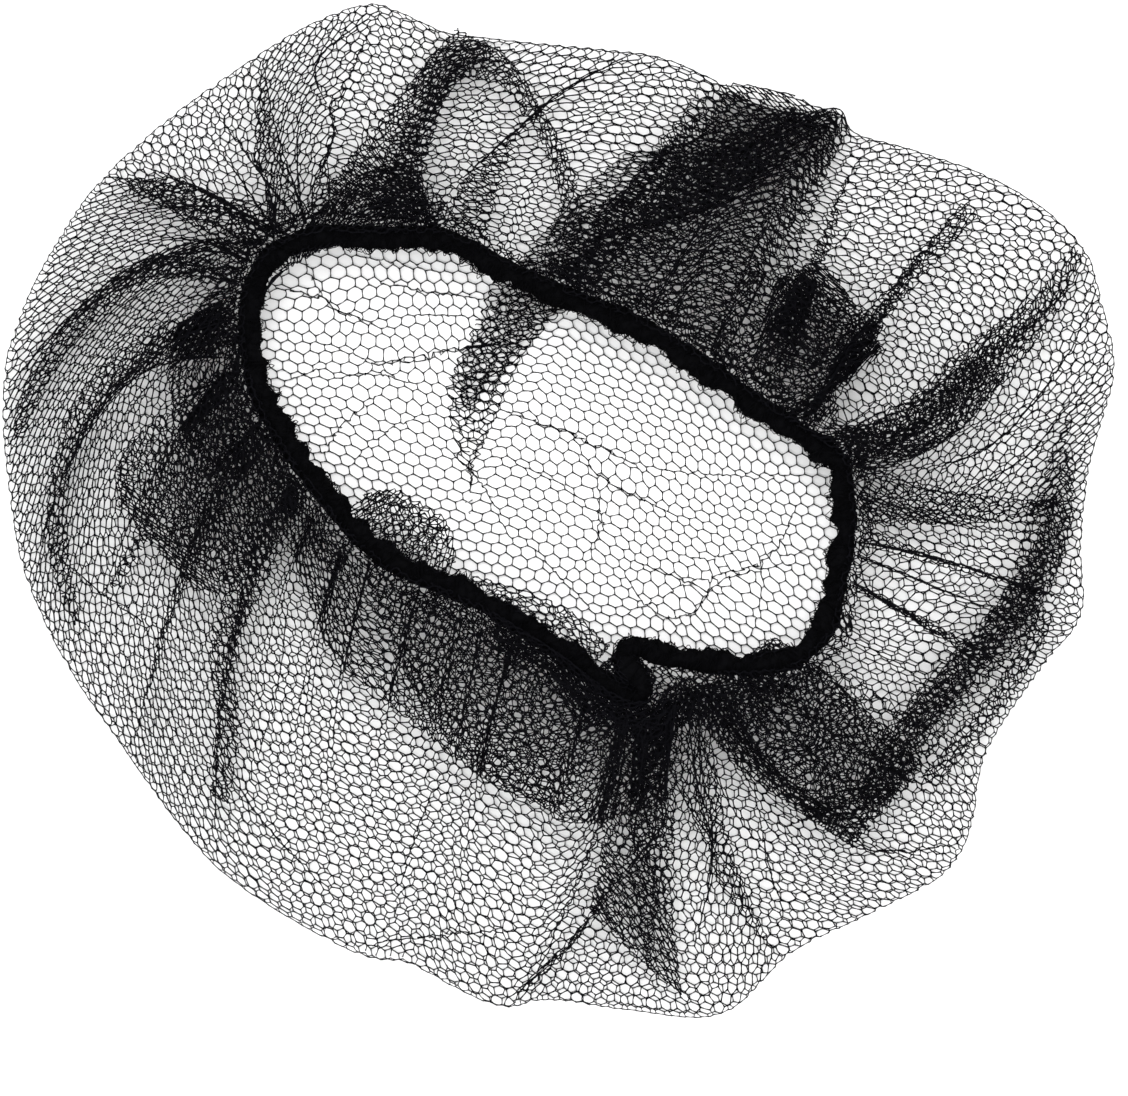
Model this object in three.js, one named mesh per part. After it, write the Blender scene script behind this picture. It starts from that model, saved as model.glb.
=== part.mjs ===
// A gathered hairnet, lying flat with its mouth up: one disc of fine net folded over at its rim,
// with the outer part of the disc gathered back on top to a closed elastic round the mouth.
// Millimetres, +Z up, +X along the mouth's long axis, origin on the floor under the middle.
import * as THREE from "three";

// Driving dimensions
const net_length = 286;
const net_width = 261;
const net_height = 20;
const rim_height = 5.6;
const mouth_length = 181;
const mouth_width = 92;
const mouth_x = -5;
const mouth_y = 7;
const cloth_wall = 1.1;
const band_width = 6.4;
const band_height = 5.2;
const join_depth = 13.4;
const join_length = 9;
const clearance = 0.3;
const ruffle_height = 2.4;

// Colours and finish
const net_colour = 0x17171b;
const net_roughness = 0.75;
const band_colour = 0x0c0c0e;
const band_roughness = 0.9;

// How finely the shapes are divided
const columns_per_section = 3;
const floor_rings = 4;
const roll_rings = 4;
const top_rings = 7;
const band_sides = 8;
const band_steps_per_section = 2;

// Where things lie along a section, as shares of the way that each one runs
const crest_at = 0.3;
const crease_ends_at = 0.7;

// One row for each section round the net, anticlockwise from the right-hand end of the mouth.
// rim_x and rim_y are where the net folds over, as shares of half the length and half the width.
// edge_x and edge_y are where the section is gathered on, as shares of half the mouth's size.
// crest is the height of the top layer's fold and lift that of the elastic, as shares of the height.
// crease is the height of the fold in the bottom layer, as a share of the height.
const sections = [
  { rim_x: 0.94, rim_y: 0.05, edge_x: 1.0, edge_y: 0.01, crest: 0.52, lift: 0.5, crease: 0 },
  { rim_x: 0.955, rim_y: 0.22, edge_x: 0.96, edge_y: 0.27, crest: 0.68, lift: 0.51, crease: 0.06 },
  { rim_x: 0.965, rim_y: 0.33, edge_x: 0.905, edge_y: 0.555, crest: 0.54, lift: 0.52, crease: 0 },
  { rim_x: 0.9, rim_y: 0.45, edge_x: 0.84, edge_y: 0.755, crest: 0.5, lift: 0.53, crease: 0 },
  { rim_x: 0.84, rim_y: 0.6, edge_x: 0.795, edge_y: 0.87, crest: 0.48, lift: 0.54, crease: 0.06 },
  { rim_x: 0.795, rim_y: 0.78, edge_x: 0.735, edge_y: 0.915, crest: 0.7, lift: 0.55, crease: 0 },
  { rim_x: 0.71, rim_y: 0.89, edge_x: 0.685, edge_y: 0.93, crest: 0.92, lift: 0.56, crease: 0 },
  { rim_x: 0.64, rim_y: 0.96, edge_x: 0.64, edge_y: 0.93, crest: 0.8, lift: 0.57, crease: 0 },
  { rim_x: 0.55, rim_y: 0.99, edge_x: 0.59, edge_y: 0.94, crest: 0.52, lift: 0.57, crease: 0.06 },
  { rim_x: 0.44, rim_y: 0.995, edge_x: 0.53, edge_y: 0.945, crest: 0.76, lift: 0.58, crease: 0 },
  { rim_x: 0.34, rim_y: 0.98, edge_x: 0.45, edge_y: 0.955, crest: 0.56, lift: 0.59, crease: 0 },
  { rim_x: 0.24, rim_y: 0.955, edge_x: 0.37, edge_y: 0.97, crest: 0.84, lift: 0.6, crease: 0 },
  { rim_x: 0.16, rim_y: 0.935, edge_x: 0.275, edge_y: 0.985, crest: 0.88, lift: 0.6, crease: 0.05 },
  { rim_x: 0.115, rim_y: 0.96, edge_x: 0.165, edge_y: 1.0, crest: 0.74, lift: 0.6, crease: 0 },
  { rim_x: 0.05, rim_y: 0.91, edge_x: 0.055, edge_y: 1.0, crest: 1.0, lift: 0.6, crease: 0 },
  { rim_x: -0.03, rim_y: 0.885, edge_x: -0.055, edge_y: 0.97, crest: 0.94, lift: 0.59, crease: 0 },
  { rim_x: -0.12, rim_y: 0.885, edge_x: -0.165, edge_y: 0.94, crest: 0.72, lift: 0.58, crease: 0.07 },
  { rim_x: -0.22, rim_y: 0.87, edge_x: -0.275, edge_y: 0.915, crest: 0.48, lift: 0.57, crease: 0.04 },
  { rim_x: -0.31, rim_y: 0.83, edge_x: -0.385, edge_y: 0.9, crest: 0.56, lift: 0.56, crease: 0 },
  { rim_x: -0.41, rim_y: 0.78, edge_x: -0.48, edge_y: 0.9, crest: 0.5, lift: 0.55, crease: 0 },
  { rim_x: -0.5, rim_y: 0.735, edge_x: -0.575, edge_y: 0.87, crest: 0.82, lift: 0.55, crease: 0 },
  { rim_x: -0.58, rim_y: 0.7, edge_x: -0.655, edge_y: 0.785, crest: 0.9, lift: 0.55, crease: 0 },
  { rim_x: -0.66, rim_y: 0.69, edge_x: -0.73, edge_y: 0.7, crest: 0.64, lift: 0.54, crease: 0 },
  { rim_x: -0.73, rim_y: 0.67, edge_x: -0.81, edge_y: 0.615, crest: 0.76, lift: 0.53, crease: 0 },
  { rim_x: -0.81, rim_y: 0.565, edge_x: -0.88, edge_y: 0.54, crest: 0.5, lift: 0.52, crease: 0 },
  { rim_x: -0.88, rim_y: 0.42, edge_x: -0.945, edge_y: 0.415, crest: 0.56, lift: 0.52, crease: 0 },
  { rim_x: -0.945, rim_y: 0.26, edge_x: -0.99, edge_y: 0.27, crest: 0.74, lift: 0.51, crease: 0.06 },
  { rim_x: -0.995, rim_y: 0.08, edge_x: -1.0, edge_y: 0.13, crest: 0.56, lift: 0.5, crease: 0 },
  { rim_x: -1.005, rim_y: -0.1, edge_x: -0.985, edge_y: -0.045, crest: 0.74, lift: 0.5, crease: 0 },
  { rim_x: -0.985, rim_y: -0.28, edge_x: -0.945, edge_y: -0.215, crest: 0.56, lift: 0.5, crease: 0 },
  { rim_x: -0.93, rim_y: -0.41, edge_x: -0.89, edge_y: -0.37, crest: 0.8, lift: 0.51, crease: 0 },
  { rim_x: -0.86, rim_y: -0.52, edge_x: -0.82, edge_y: -0.515, crest: 0.6, lift: 0.52, crease: 0 },
  { rim_x: -0.77, rim_y: -0.64, edge_x: -0.73, edge_y: -0.63, crest: 0.86, lift: 0.53, crease: 0.05 },
  { rim_x: -0.66, rim_y: -0.735, edge_x: -0.64, edge_y: -0.73, crest: 0.7, lift: 0.54, crease: 0 },
  { rim_x: -0.54, rim_y: -0.81, edge_x: -0.545, edge_y: -0.815, crest: 0.84, lift: 0.55, crease: 0 },
  { rim_x: -0.42, rim_y: -0.87, edge_x: -0.435, edge_y: -0.9, crest: 0.52, lift: 0.56, crease: 0 },
  { rim_x: -0.3, rim_y: -0.93, edge_x: -0.325, edge_y: -0.97, crest: 0.48, lift: 0.57, crease: 0 },
  { rim_x: -0.18, rim_y: -0.975, edge_x: -0.195, edge_y: -1.0, crest: 0.52, lift: 0.57, crease: 0 },
  { rim_x: -0.06, rim_y: -0.99, edge_x: -0.07, edge_y: -0.97, crest: 0.62, lift: 0.58, crease: 0.06 },
  { rim_x: 0.06, rim_y: -0.99, edge_x: 0.055, edge_y: -0.945, crest: 0.74, lift: 0.58, crease: 0 },
  { rim_x: 0.15, rim_y: -0.98, edge_x: 0.18, edge_y: -0.945, crest: 0.84, lift: 0.59, crease: 0 },
  { rim_x: 0.22, rim_y: -0.95, edge_x: 0.29, edge_y: -0.955, crest: 0.92, lift: 0.6, crease: 0 },
  { rim_x: 0.33, rim_y: -0.945, edge_x: 0.4, edge_y: -0.97, crest: 0.84, lift: 0.6, crease: 0 },
  { rim_x: 0.41, rim_y: -0.93, edge_x: 0.51, edge_y: -1.0, crest: 1.0, lift: 0.6, crease: 0 },
  { rim_x: 0.47, rim_y: -0.875, edge_x: 0.6, edge_y: -0.98, crest: 0.9, lift: 0.59, crease: 0 },
  { rim_x: 0.6, rim_y: -0.815, edge_x: 0.655, edge_y: -0.87, crest: 0.58, lift: 0.58, crease: 0 },
  { rim_x: 0.76, rim_y: -0.725, edge_x: 0.69, edge_y: -0.73, crest: 0.48, lift: 0.57, crease: 0 },
  { rim_x: 0.815, rim_y: -0.55, edge_x: 0.745, edge_y: -0.63, crest: 0.52, lift: 0.56, crease: 0.06 },
  { rim_x: 0.9, rim_y: -0.41, edge_x: 0.81, edge_y: -0.53, crest: 0.76, lift: 0.55, crease: 0 },
  { rim_x: 0.985, rim_y: -0.26, edge_x: 0.89, edge_y: -0.43, crest: 0.84, lift: 0.54, crease: 0 },
  { rim_x: 0.985, rim_y: -0.15, edge_x: 0.96, edge_y: -0.3, crest: 0.6, lift: 0.53, crease: 0 },
  { rim_x: 0.95, rim_y: -0.05, edge_x: 0.99, edge_y: -0.155, crest: 0.72, lift: 0.51, crease: 0 },
];

// Where the creases of the bottom layer meet, as shares of half the mouth's size
const hub = { x: -0.13, y: -0.38 };

// The elastic is folded back on itself at its join, in the sections between these two rows.
// along and across are shares of the fold's length and depth, from the row that it starts after.
const join_after = 43;
const join_before = 48;
const join_fold = [
  { along: 0.5, across: -0.02, swell: 0.85 },
  { along: 0.9, across: 0.14, swell: 0.78 },
  { along: 0.68, across: 0.36, swell: 0.78 },
  { along: 0.2, across: 0.5, swell: 0.8 },
  { along: -0.18, across: 0.73, swell: 0.8 },
  { along: 0.16, across: 0.97, swell: 0.84 },
  { along: 0.8, across: 1.03, swell: 0.95 },
];

// A smooth closed run through the rows of a table, read at any share of a turn
function closed_curve(points) {
  return new THREE.CatmullRomCurve3(points, true, "catmullrom");
}

function mix(a, b, share) {
  return a + (b - a) * share;
}

function smooth(share) {
  return share * share * (3 - 2 * share);
}

// The points of a closed run, moved and stretched so that they reach exactly the stated size
function fitted(points, length, width, x, y) {
  const box = new THREE.Box3().setFromPoints(points);
  const size = box.getSize(new THREE.Vector3());
  const middle = box.getCenter(new THREE.Vector3());
  return points.map((point) => {
    const fit_x = x + ((point.x - middle.x) / size.x) * length;
    const fit_y = y + ((point.y - middle.y) / size.y) * width;
    return new THREE.Vector3(fit_x, fit_y, point.z);
  });
}

function rim_points(columns) {
  const run = closed_curve(sections.map((row) => new THREE.Vector3(row.rim_x, row.rim_y, 0)));
  const points = Array.from({ length: columns }, (_, i) => run.getPoint(i / columns));
  return fitted(points, net_length, net_width, 0, 0);
}

function edge_points(columns) {
  const rows = sections.map((row) => new THREE.Vector3(row.edge_x, row.edge_y, row.lift * net_height));
  const run = closed_curve(rows);
  const points = Array.from({ length: columns }, (_, i) => run.getPoint(i / columns));
  return fitted(points, mouth_length, mouth_width, mouth_x, mouth_y);
}

// The point of the floor where its creases meet
function hub_point() {
  return new THREE.Vector3(mouth_x + (hub.x * mouth_length) / 2, mouth_y + (hub.y * mouth_width) / 2, 0);
}

// One column of the net, from the hub over the floor, round the rim and back to the elastic
function net_column(rim, edge, heights, index) {
  const roll = rim_height / 2;
  const middle = hub_point();
  const out = rim.clone().sub(middle).setZ(0).normalize();
  const inner_rim = rim.clone().addScaledVector(out, -roll);
  const points = [];
  for (let i = 1; i <= floor_rings; i += 1) {
    const share = i / floor_rings;
    const point = middle.clone().lerp(inner_rim, share);
    const rise = Math.sin(Math.PI * Math.min(share / crease_ends_at, 1));
    point.z = Math.max(heights.y, 0) * net_height * rise;
    points.push(point);
  }
  for (let i = 1; i < roll_rings; i += 1) {
    const angle = Math.PI * (i / roll_rings - 0.5);
    const point = inner_rim.clone().addScaledVector(out, roll * Math.cos(angle));
    point.z = roll * (1 + Math.sin(angle));
    points.push(point);
  }
  for (let i = 0; i <= top_rings; i += 1) {
    const share = 1 - i / top_rings;
    const point = edge.clone().lerp(inner_rim, share);
    const from = share < crest_at ? edge.z : rim_height;
    const run = share < crest_at ? share / crest_at : (1 - share) / (1 - crest_at);
    const crest = heights.x * net_height - ruffle_height / 2;
    const ruffle = (ruffle_height / 2) * Math.cos((2 * Math.PI * index) / columns_per_section);
    point.z = mix(from, crest, smooth(run)) + ruffle * (1 - share) ** 2;
    points.push(point);
  }
  return points;
}

// The way out of the cloth at one point of the grid, square to it
function way_out(grid, column, ring) {
  const count = grid.length;
  const last = grid[0].length - 1;
  const before = grid[(column + count - 1) % count][ring];
  const after = grid[(column + 1) % count][ring];
  const inner = grid[column][Math.max(ring - 1, 0)];
  const outer = grid[column][Math.min(ring + 1, last)];
  const round = after.clone().sub(before);
  const along = outer.clone().sub(inner);
  return round.cross(along).normalize();
}

function body(points, faces, colour, roughness) {
  const geometry = new THREE.BufferGeometry();
  geometry.setAttribute("position", new THREE.Float32BufferAttribute(points.flatMap((p) => p.toArray()), 3));
  geometry.setIndex(faces);
  geometry.computeVertexNormals();
  const material = new THREE.MeshStandardMaterial({ color: colour, roughness, metalness: 0 });
  return new THREE.Mesh(geometry, material);
}

// The whole net as one hollow shell of cloth, open at the mouth
function net_cap() {
  const columns = sections.length * columns_per_section;
  const rim = rim_points(columns);
  const edge = edge_points(columns);
  const heights = closed_curve(sections.map((row) => new THREE.Vector3(row.crest, row.crease, 0)));
  const grid = rim.map((point, i) => net_column(point, edge[i], heights.getPoint(i / columns), i));
  const rings = grid[0].length;
  const points = [hub_point(), hub_point().setZ(cloth_wall)];
  for (let i = 0; i < columns; i += 1) {
    for (let k = 0; k < rings; k += 1) {
      const outside = grid[i][k];
      points.push(outside, outside.clone().addScaledVector(way_out(grid, i, k), -cloth_wall));
    }
  }
  const at = (i, k, inside) => 2 + 2 * ((i % columns) * rings + k) + inside;
  const faces = [];
  for (let i = 0; i < columns; i += 1) {
    faces.push(0, at(i + 1, 0, 0), at(i, 0, 0));
    faces.push(1, at(i, 0, 1), at(i + 1, 0, 1));
    for (let k = 0; k < rings - 1; k += 1) {
      faces.push(at(i, k, 0), at(i + 1, k, 0), at(i + 1, k + 1, 0));
      faces.push(at(i, k, 0), at(i + 1, k + 1, 0), at(i, k + 1, 0));
      faces.push(at(i, k, 1), at(i + 1, k + 1, 1), at(i + 1, k, 1));
      faces.push(at(i, k, 1), at(i, k + 1, 1), at(i + 1, k + 1, 1));
    }
    faces.push(at(i, rings - 1, 0), at(i + 1, rings - 1, 0), at(i + 1, rings - 1, 1));
    faces.push(at(i, rings - 1, 0), at(i + 1, rings - 1, 1), at(i, rings - 1, 1));
  }
  const mesh = body(points, faces, net_colour, net_roughness);
  mesh.name = "net_cap";
  return mesh;
}

// The middle line of the elastic: beside the net's edge, and folded back on itself at the join
function band_line() {
  const edge = edge_points(sections.length);
  const count = edge.length;
  const inset = band_width / 2 + clearance;
  const beside = edge.map((point, i) => {
    const along = edge[(i + 1) % count].clone().sub(edge[(i + count - 1) % count]).setZ(0).normalize();
    return point.clone().add(new THREE.Vector3(-along.y, along.x, 0).multiplyScalar(inset));
  });
  const start = beside[join_after];
  const fold = join_fold.map((row) => ({
    point: start.clone().add(new THREE.Vector3(row.along * join_length, row.across * join_depth, 0)),
    swell: row.swell,
  }));
  const plain = beside.map((point) => ({ point, swell: 1 }));
  return [...plain.slice(0, join_after + 1), ...fold, ...plain.slice(join_before)];
}

function elastic_band() {
  const line = band_line();
  const path = closed_curve(line.map((row) => row.point));
  const swell = closed_curve(line.map((row) => new THREE.Vector3(row.swell, 0, 0)));
  const steps = line.length * band_steps_per_section;
  const points = [];
  for (let i = 0; i < steps; i += 1) {
    const middle = path.getPoint(i / steps);
    const along = path.getTangent(i / steps).setZ(0).normalize();
    const across = new THREE.Vector3(-along.y, along.x, 0);
    for (let k = 0; k < band_sides; k += 1) {
      const angle = (2 * Math.PI * (k + 0.5)) / band_sides;
      const reach = (band_width / 2) * swell.getPoint(i / steps).x / Math.cos(Math.PI / band_sides);
      const rise = (band_height / 2) / Math.cos(Math.PI / band_sides);
      const point = middle.clone().addScaledVector(across, reach * Math.cos(angle));
      point.z += rise * Math.sin(angle);
      points.push(point);
    }
  }
  const at = (i, k) => (i % steps) * band_sides + (k % band_sides);
  const faces = [];
  for (let i = 0; i < steps; i += 1) {
    for (let k = 0; k < band_sides; k += 1) {
      faces.push(at(i, k), at(i + 1, k + 1), at(i + 1, k));
      faces.push(at(i, k), at(i, k + 1), at(i + 1, k + 1));
    }
  }
  const mesh = body(points, faces, band_colour, band_roughness);
  mesh.name = "elastic_band";
  return mesh;
}

const hairnet = new THREE.Group();
hairnet.add(net_cap());
hairnet.add(elastic_band());

export default hairnet;
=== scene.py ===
# The dressed model of a gathered hairnet, lying flat with its mouth up. The fine net is made thread by
# thread: a flat net of hexagons is folded over at its rim, gathered into folds and caught at a closed
# elastic. Patches of more net are laid on it as pleats and gathers, and aren't joined to it. Lengths in
# the settings are Blender's metres; the folding itself is worked out in millimetres.
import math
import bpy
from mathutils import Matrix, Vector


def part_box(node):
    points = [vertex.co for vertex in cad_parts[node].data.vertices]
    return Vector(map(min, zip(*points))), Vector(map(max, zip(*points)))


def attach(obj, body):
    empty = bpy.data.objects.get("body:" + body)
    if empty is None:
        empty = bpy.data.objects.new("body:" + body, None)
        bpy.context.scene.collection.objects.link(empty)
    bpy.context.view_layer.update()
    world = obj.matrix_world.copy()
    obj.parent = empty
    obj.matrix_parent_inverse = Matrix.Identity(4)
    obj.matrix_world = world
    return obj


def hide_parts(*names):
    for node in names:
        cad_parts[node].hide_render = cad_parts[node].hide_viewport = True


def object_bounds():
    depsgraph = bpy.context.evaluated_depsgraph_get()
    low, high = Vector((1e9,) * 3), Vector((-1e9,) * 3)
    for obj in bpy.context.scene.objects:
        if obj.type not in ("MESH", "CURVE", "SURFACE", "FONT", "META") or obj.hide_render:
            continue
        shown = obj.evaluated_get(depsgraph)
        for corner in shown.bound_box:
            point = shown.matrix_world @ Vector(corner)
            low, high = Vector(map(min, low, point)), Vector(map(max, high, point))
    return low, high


bl_info = {
    "name": "Gathered hairnet",
    "version": (1, 0, 0),
    "blender": (4, 5, 0),
    "location": "3D View > Sidebar > Hairnet",
    "description": "Builds a gathered net cap with its elastic, and a plain stage",
    "category": "Add Mesh",
}

import bpy
import numpy as np
from mathutils import Matrix, Vector

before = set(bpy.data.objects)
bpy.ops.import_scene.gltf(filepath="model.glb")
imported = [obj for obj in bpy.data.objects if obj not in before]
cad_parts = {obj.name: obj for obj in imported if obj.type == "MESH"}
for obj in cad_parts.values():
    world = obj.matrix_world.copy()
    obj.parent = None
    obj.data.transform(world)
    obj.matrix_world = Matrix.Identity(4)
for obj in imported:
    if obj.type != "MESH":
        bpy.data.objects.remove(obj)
CAD_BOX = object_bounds()
NET_LOW, NET_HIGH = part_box("net_cap")

MM = 0.001
# In millimetres: the height that the sections' shares are of, the lowest threads' height over the floor,
# and how far under the fold line's height the top layer's crest stands
NET_HEIGHT = 20.0
THREAD_LIFT = 0.25
CREST_BELOW = 1.8
# The crest's place, as a share of the way in from the elastic to the rim
CREST_AT = 0.3
# The elastic's edge stands outside the elastic by this much, in millimetres, all round
BAND_GAP = 0.3
BAND_WIDTH = 6.4
BAND_HEIGHT = 5.2
# How far the elastic's skin stays inside half that width and half that height
SKIN_INSET_WIDE = 0.35
SKIN_INSET_HIGH = 0.3

# One row for each section round the net, anticlockwise from the right-hand end of the mouth, as in the
# part: the rim's and the elastic's x and y as shares of half their sizes, and the heights of the top
# layer's fold and of the elastic as shares of the net's height.
SECTION_ROWS = [
    (0.94, 0.05, 1, 0.01, 0.52, 0.5),
    (0.955, 0.22, 0.96, 0.27, 0.68, 0.51),
    (0.965, 0.33, 0.905, 0.555, 0.54, 0.52),
    (0.9, 0.45, 0.84, 0.755, 0.5, 0.53),
    (0.84, 0.6, 0.795, 0.87, 0.48, 0.54),
    (0.795, 0.78, 0.735, 0.915, 0.7, 0.55),
    (0.71, 0.89, 0.685, 0.93, 0.92, 0.56),
    (0.64, 0.96, 0.64, 0.93, 0.8, 0.57),
    (0.55, 0.99, 0.59, 0.94, 0.52, 0.57),
    (0.44, 0.995, 0.53, 0.945, 0.76, 0.58),
    (0.34, 0.98, 0.45, 0.955, 0.56, 0.59),
    (0.24, 0.955, 0.37, 0.97, 0.84, 0.6),
    (0.16, 0.935, 0.275, 0.985, 0.88, 0.6),
    (0.115, 0.96, 0.165, 1, 0.74, 0.6),
    (0.05, 0.91, 0.055, 1, 1, 0.6),
    (-0.03, 0.885, -0.055, 0.97, 0.94, 0.59),
    (-0.12, 0.885, -0.165, 0.94, 0.72, 0.58),
    (-0.22, 0.87, -0.275, 0.915, 0.48, 0.57),
    (-0.31, 0.83, -0.385, 0.9, 0.56, 0.56),
    (-0.41, 0.78, -0.48, 0.9, 0.5, 0.55),
    (-0.5, 0.735, -0.575, 0.87, 0.82, 0.55),
    (-0.58, 0.7, -0.655, 0.785, 0.9, 0.55),
    (-0.66, 0.69, -0.73, 0.7, 0.64, 0.54),
    (-0.73, 0.67, -0.81, 0.615, 0.76, 0.53),
    (-0.81, 0.565, -0.88, 0.54, 0.5, 0.52),
    (-0.88, 0.42, -0.945, 0.415, 0.56, 0.52),
    (-0.945, 0.26, -0.99, 0.27, 0.74, 0.51),
    (-0.995, 0.08, -1, 0.13, 0.56, 0.5),
    (-1.005, -0.1, -0.985, -0.045, 0.74, 0.5),
    (-0.985, -0.28, -0.945, -0.215, 0.56, 0.5),
    (-0.93, -0.41, -0.89, -0.37, 0.8, 0.51),
    (-0.86, -0.52, -0.82, -0.515, 0.6, 0.52),
    (-0.77, -0.64, -0.73, -0.63, 0.86, 0.53),
    (-0.66, -0.735, -0.64, -0.73, 0.7, 0.54),
    (-0.54, -0.81, -0.545, -0.815, 0.84, 0.55),
    (-0.42, -0.87, -0.435, -0.9, 0.52, 0.56),
    (-0.3, -0.93, -0.325, -0.97, 0.48, 0.57),
    (-0.18, -0.975, -0.195, -1, 0.52, 0.57),
    (-0.06, -0.99, -0.07, -0.97, 0.62, 0.58),
    (0.06, -0.99, 0.055, -0.945, 0.74, 0.58),
    (0.15, -0.98, 0.18, -0.945, 0.84, 0.59),
    (0.22, -0.95, 0.29, -0.955, 0.92, 0.6),
    (0.33, -0.945, 0.4, -0.97, 0.84, 0.6),
    (0.41, -0.93, 0.51, -1, 1, 0.6),
    (0.47, -0.875, 0.6, -0.98, 0.9, 0.59),
    (0.6, -0.815, 0.655, -0.87, 0.58, 0.58),
    (0.76, -0.725, 0.69, -0.73, 0.48, 0.57),
    (0.815, -0.55, 0.745, -0.63, 0.52, 0.56),
    (0.9, -0.41, 0.81, -0.53, 0.76, 0.55),
    (0.985, -0.26, 0.89, -0.43, 0.84, 0.54),
    (0.985, -0.15, 0.96, -0.3, 0.6, 0.53),
    (0.95, -0.05, 0.99, -0.155, 0.72, 0.51),
]
SECTIONS = len(SECTION_ROWS)
FINE_STEPS = 16

# The point of the lower layer that its creases run from, in millimetres
CREASE_HUB = (-14.0, -15.0)

# The half-round of net at the rim: how far it reaches out and up, in millimetres
ROLL_OUT = 1.3
ROLL_UP = 2.2

# Fold lines of the top layer, anticlockwise. rim, mid and band are section numbers where the line
# starts at the rim, half-way in and at the elastic. layers is how often the net lies over itself,
# take is the share of the spare net that the fold takes up, and wide_mid and wide_band are the least
# widths of the fold half-way in and at the elastic, in millimetres.
FOLD_ROWS = [
    (14, 14.2, 13.8, 3, 0.6, 0, 0),
    (15.7, 16, 16.3, 5, 0.65, 5, 8),
    (17.6, 19, 19.3, 3, 0.6, 2, 4),
    (20.2, 21.2, 21.6, 5, 0.8, 8, 13),
    (22.6, 23.6, 24, 3, 0.6, 3, 5),
    (24.6, 24.9, 25, 3, 0.4, 0, 0),
    (26.8, 26.45, 25.8, 3, 0.4, 0, 0),
    (29.6, 27.8, 27, 3, 0.4, 0, 0),
    (32.4, 29.9, 28.9, 3, 0.45, 0, 0),
    (33.9, 32, 30.4, 3, 0.5, 0, 0),
    (35, 33.6, 32, 3, 0.5, 0, 0),
    (37, 35.1, 33.9, 5, 0.55, 3, 4),
    (38.3, 36.8, 35.6, 3, 0.2, 0, 0),
    (39.8, 38.8, 37.8, 3, 0.15, 0, 0),
    (41.4, 40.6, 40, 3, 0.15, 0, 0),
    (42.4, 42.4, 42.2, 3, 0.15, 0, 0),
    (43.3, 44, 43.8, 3, 0.35, 0, 0),
    (45.4, 45.1, 44.9, 3, 0.45, 2, 4),
    (46.9, 46.3, 46, 3, 0.5, 0, 0),
    (49, 47.9, 47.2, 3, 0.6, 3, 5),
    (50.2, 49.6, 49, 3, 0.65, 3, 5),
    (51.3, 51, 50.6, 3, 0.7, 2, 5),
    (52.6, 52.85, 53, 5, 0.7, 2, 4),
    (54.1, 54, 53.8, 3, 0.6, 1, 3),
    (55.6, 55.1, 54.8, 3, 0.5, 0, 0),
    (58.6, 57.7, 56.6, 5, 0.8, 6, 9),
    (61.1, 60.9, 59.7, 5, 0.8, 3, 5),
    (63.6, 63, 62, 5, 0.8, 4, 14),
]

# The fold that runs from the hub through the lower layer and over the rim. way is the share of the
# way from the hub to the rim, section where the fold's middle is, and wide its width in millimetres.
DART_ROWS = [
    (0, 20, 0),
    (0.05, 20, 0.5),
    (0.18, 20.1, 11),
    (0.265, 19.7, 15),
    (0.43, 18.1, 17),
    (0.7, 16.2, 26),
    (1, 14, 38),
]

# Folds that run along the rim. Each row is a list of points (section, outer edge, inner edge), with
# the edges as shares of the way from the rim to the elastic.
TUCKS = [
    [(36.4, 0.95, 0.95), (37.7, 0.82, 0.96), (38.75, 0.69, 0.97), (39.9, 0.65, 0.97), (41.4, 0.59, 0.97),
     (42.4, 0.6, 0.97), (44, 0.61, 0.97), (45.6, 0.7, 0.97), (46.4, 0.9, 0.95)],
    [(48.2, 0.42, 0.42), (49, 0.36, 0.47), (50.5, 0.3, 0.45), (51.4, 0.33, 0.47), (52.4, 0.22, 0.38),
     (54, 0.17, 0.33), (55.9, 0.1, 0.2), (57, 0.1, 0.1)],
    [(30.6, 0.93, 0.93), (31.5, 0.76, 0.93), (33, 0.7, 0.93), (34.5, 0.72, 0.93), (35.4, 0.88, 0.9)],
    [(60.2, 0.66, 0.66), (60.8, 0.62, 0.84), (62, 0.58, 0.82), (63.4, 0.56, 0.8), (64.2, 0.62, 0.64)],
]


def curve_between(before, here, after, later, part):
    """A smooth curve from here to after, read at a part of the way, with the points on both sides of them."""
    return 0.5 * (
        2 * here
        + (after - before) * part
        + (2 * before - 5 * here + 4 * after - later) * part**2
        + (3 * here - before - 3 * after + later) * part**3
    )


def closed_run(values, section):
    """Smooth closed run through rows of values, read at section numbers."""
    count = len(values)
    row = np.floor(section).astype(int)
    part = (section - row)[:, None]
    before, here, after, later = (values[(row + step) % count] for step in (-1, 0, 1, 2))
    return curve_between(before, here, after, later, part)


def fitted(points, length, width, middle):
    """Points of a closed run, moved and stretched so that they reach exactly the stated size."""
    low, high = points.min(axis=0), points.max(axis=0)
    return (points - (low + high) / 2) / (high - low) * (length, width) + middle


class Outline:
    """A closed run of points round the net, which can be read at any section number."""

    def __init__(self, points):
        self.points = points
        self.steps = len(points)
        self.sections = np.arange(4 * self.steps + 1) / FINE_STEPS
        step = np.linalg.norm(np.roll(points, -1, axis=0) - points, axis=1)
        self.lengths = np.concatenate([[0.0], np.cumsum(np.tile(step, 4))])
        self.turn = self.lengths[self.steps]

    def at(self, section):
        place = np.mod(section, SECTIONS) * FINE_STEPS
        low = np.floor(place).astype(int)
        part = (place - low)[..., None]
        return self.points[low % self.steps] * (1 - part) + self.points[(low + 1) % self.steps] * part

    def length_at(self, section):
        return np.interp(section + SECTIONS, self.sections, self.lengths)

    def section_at(self, length):
        return np.interp(length, self.lengths, self.sections) - SECTIONS


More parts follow.
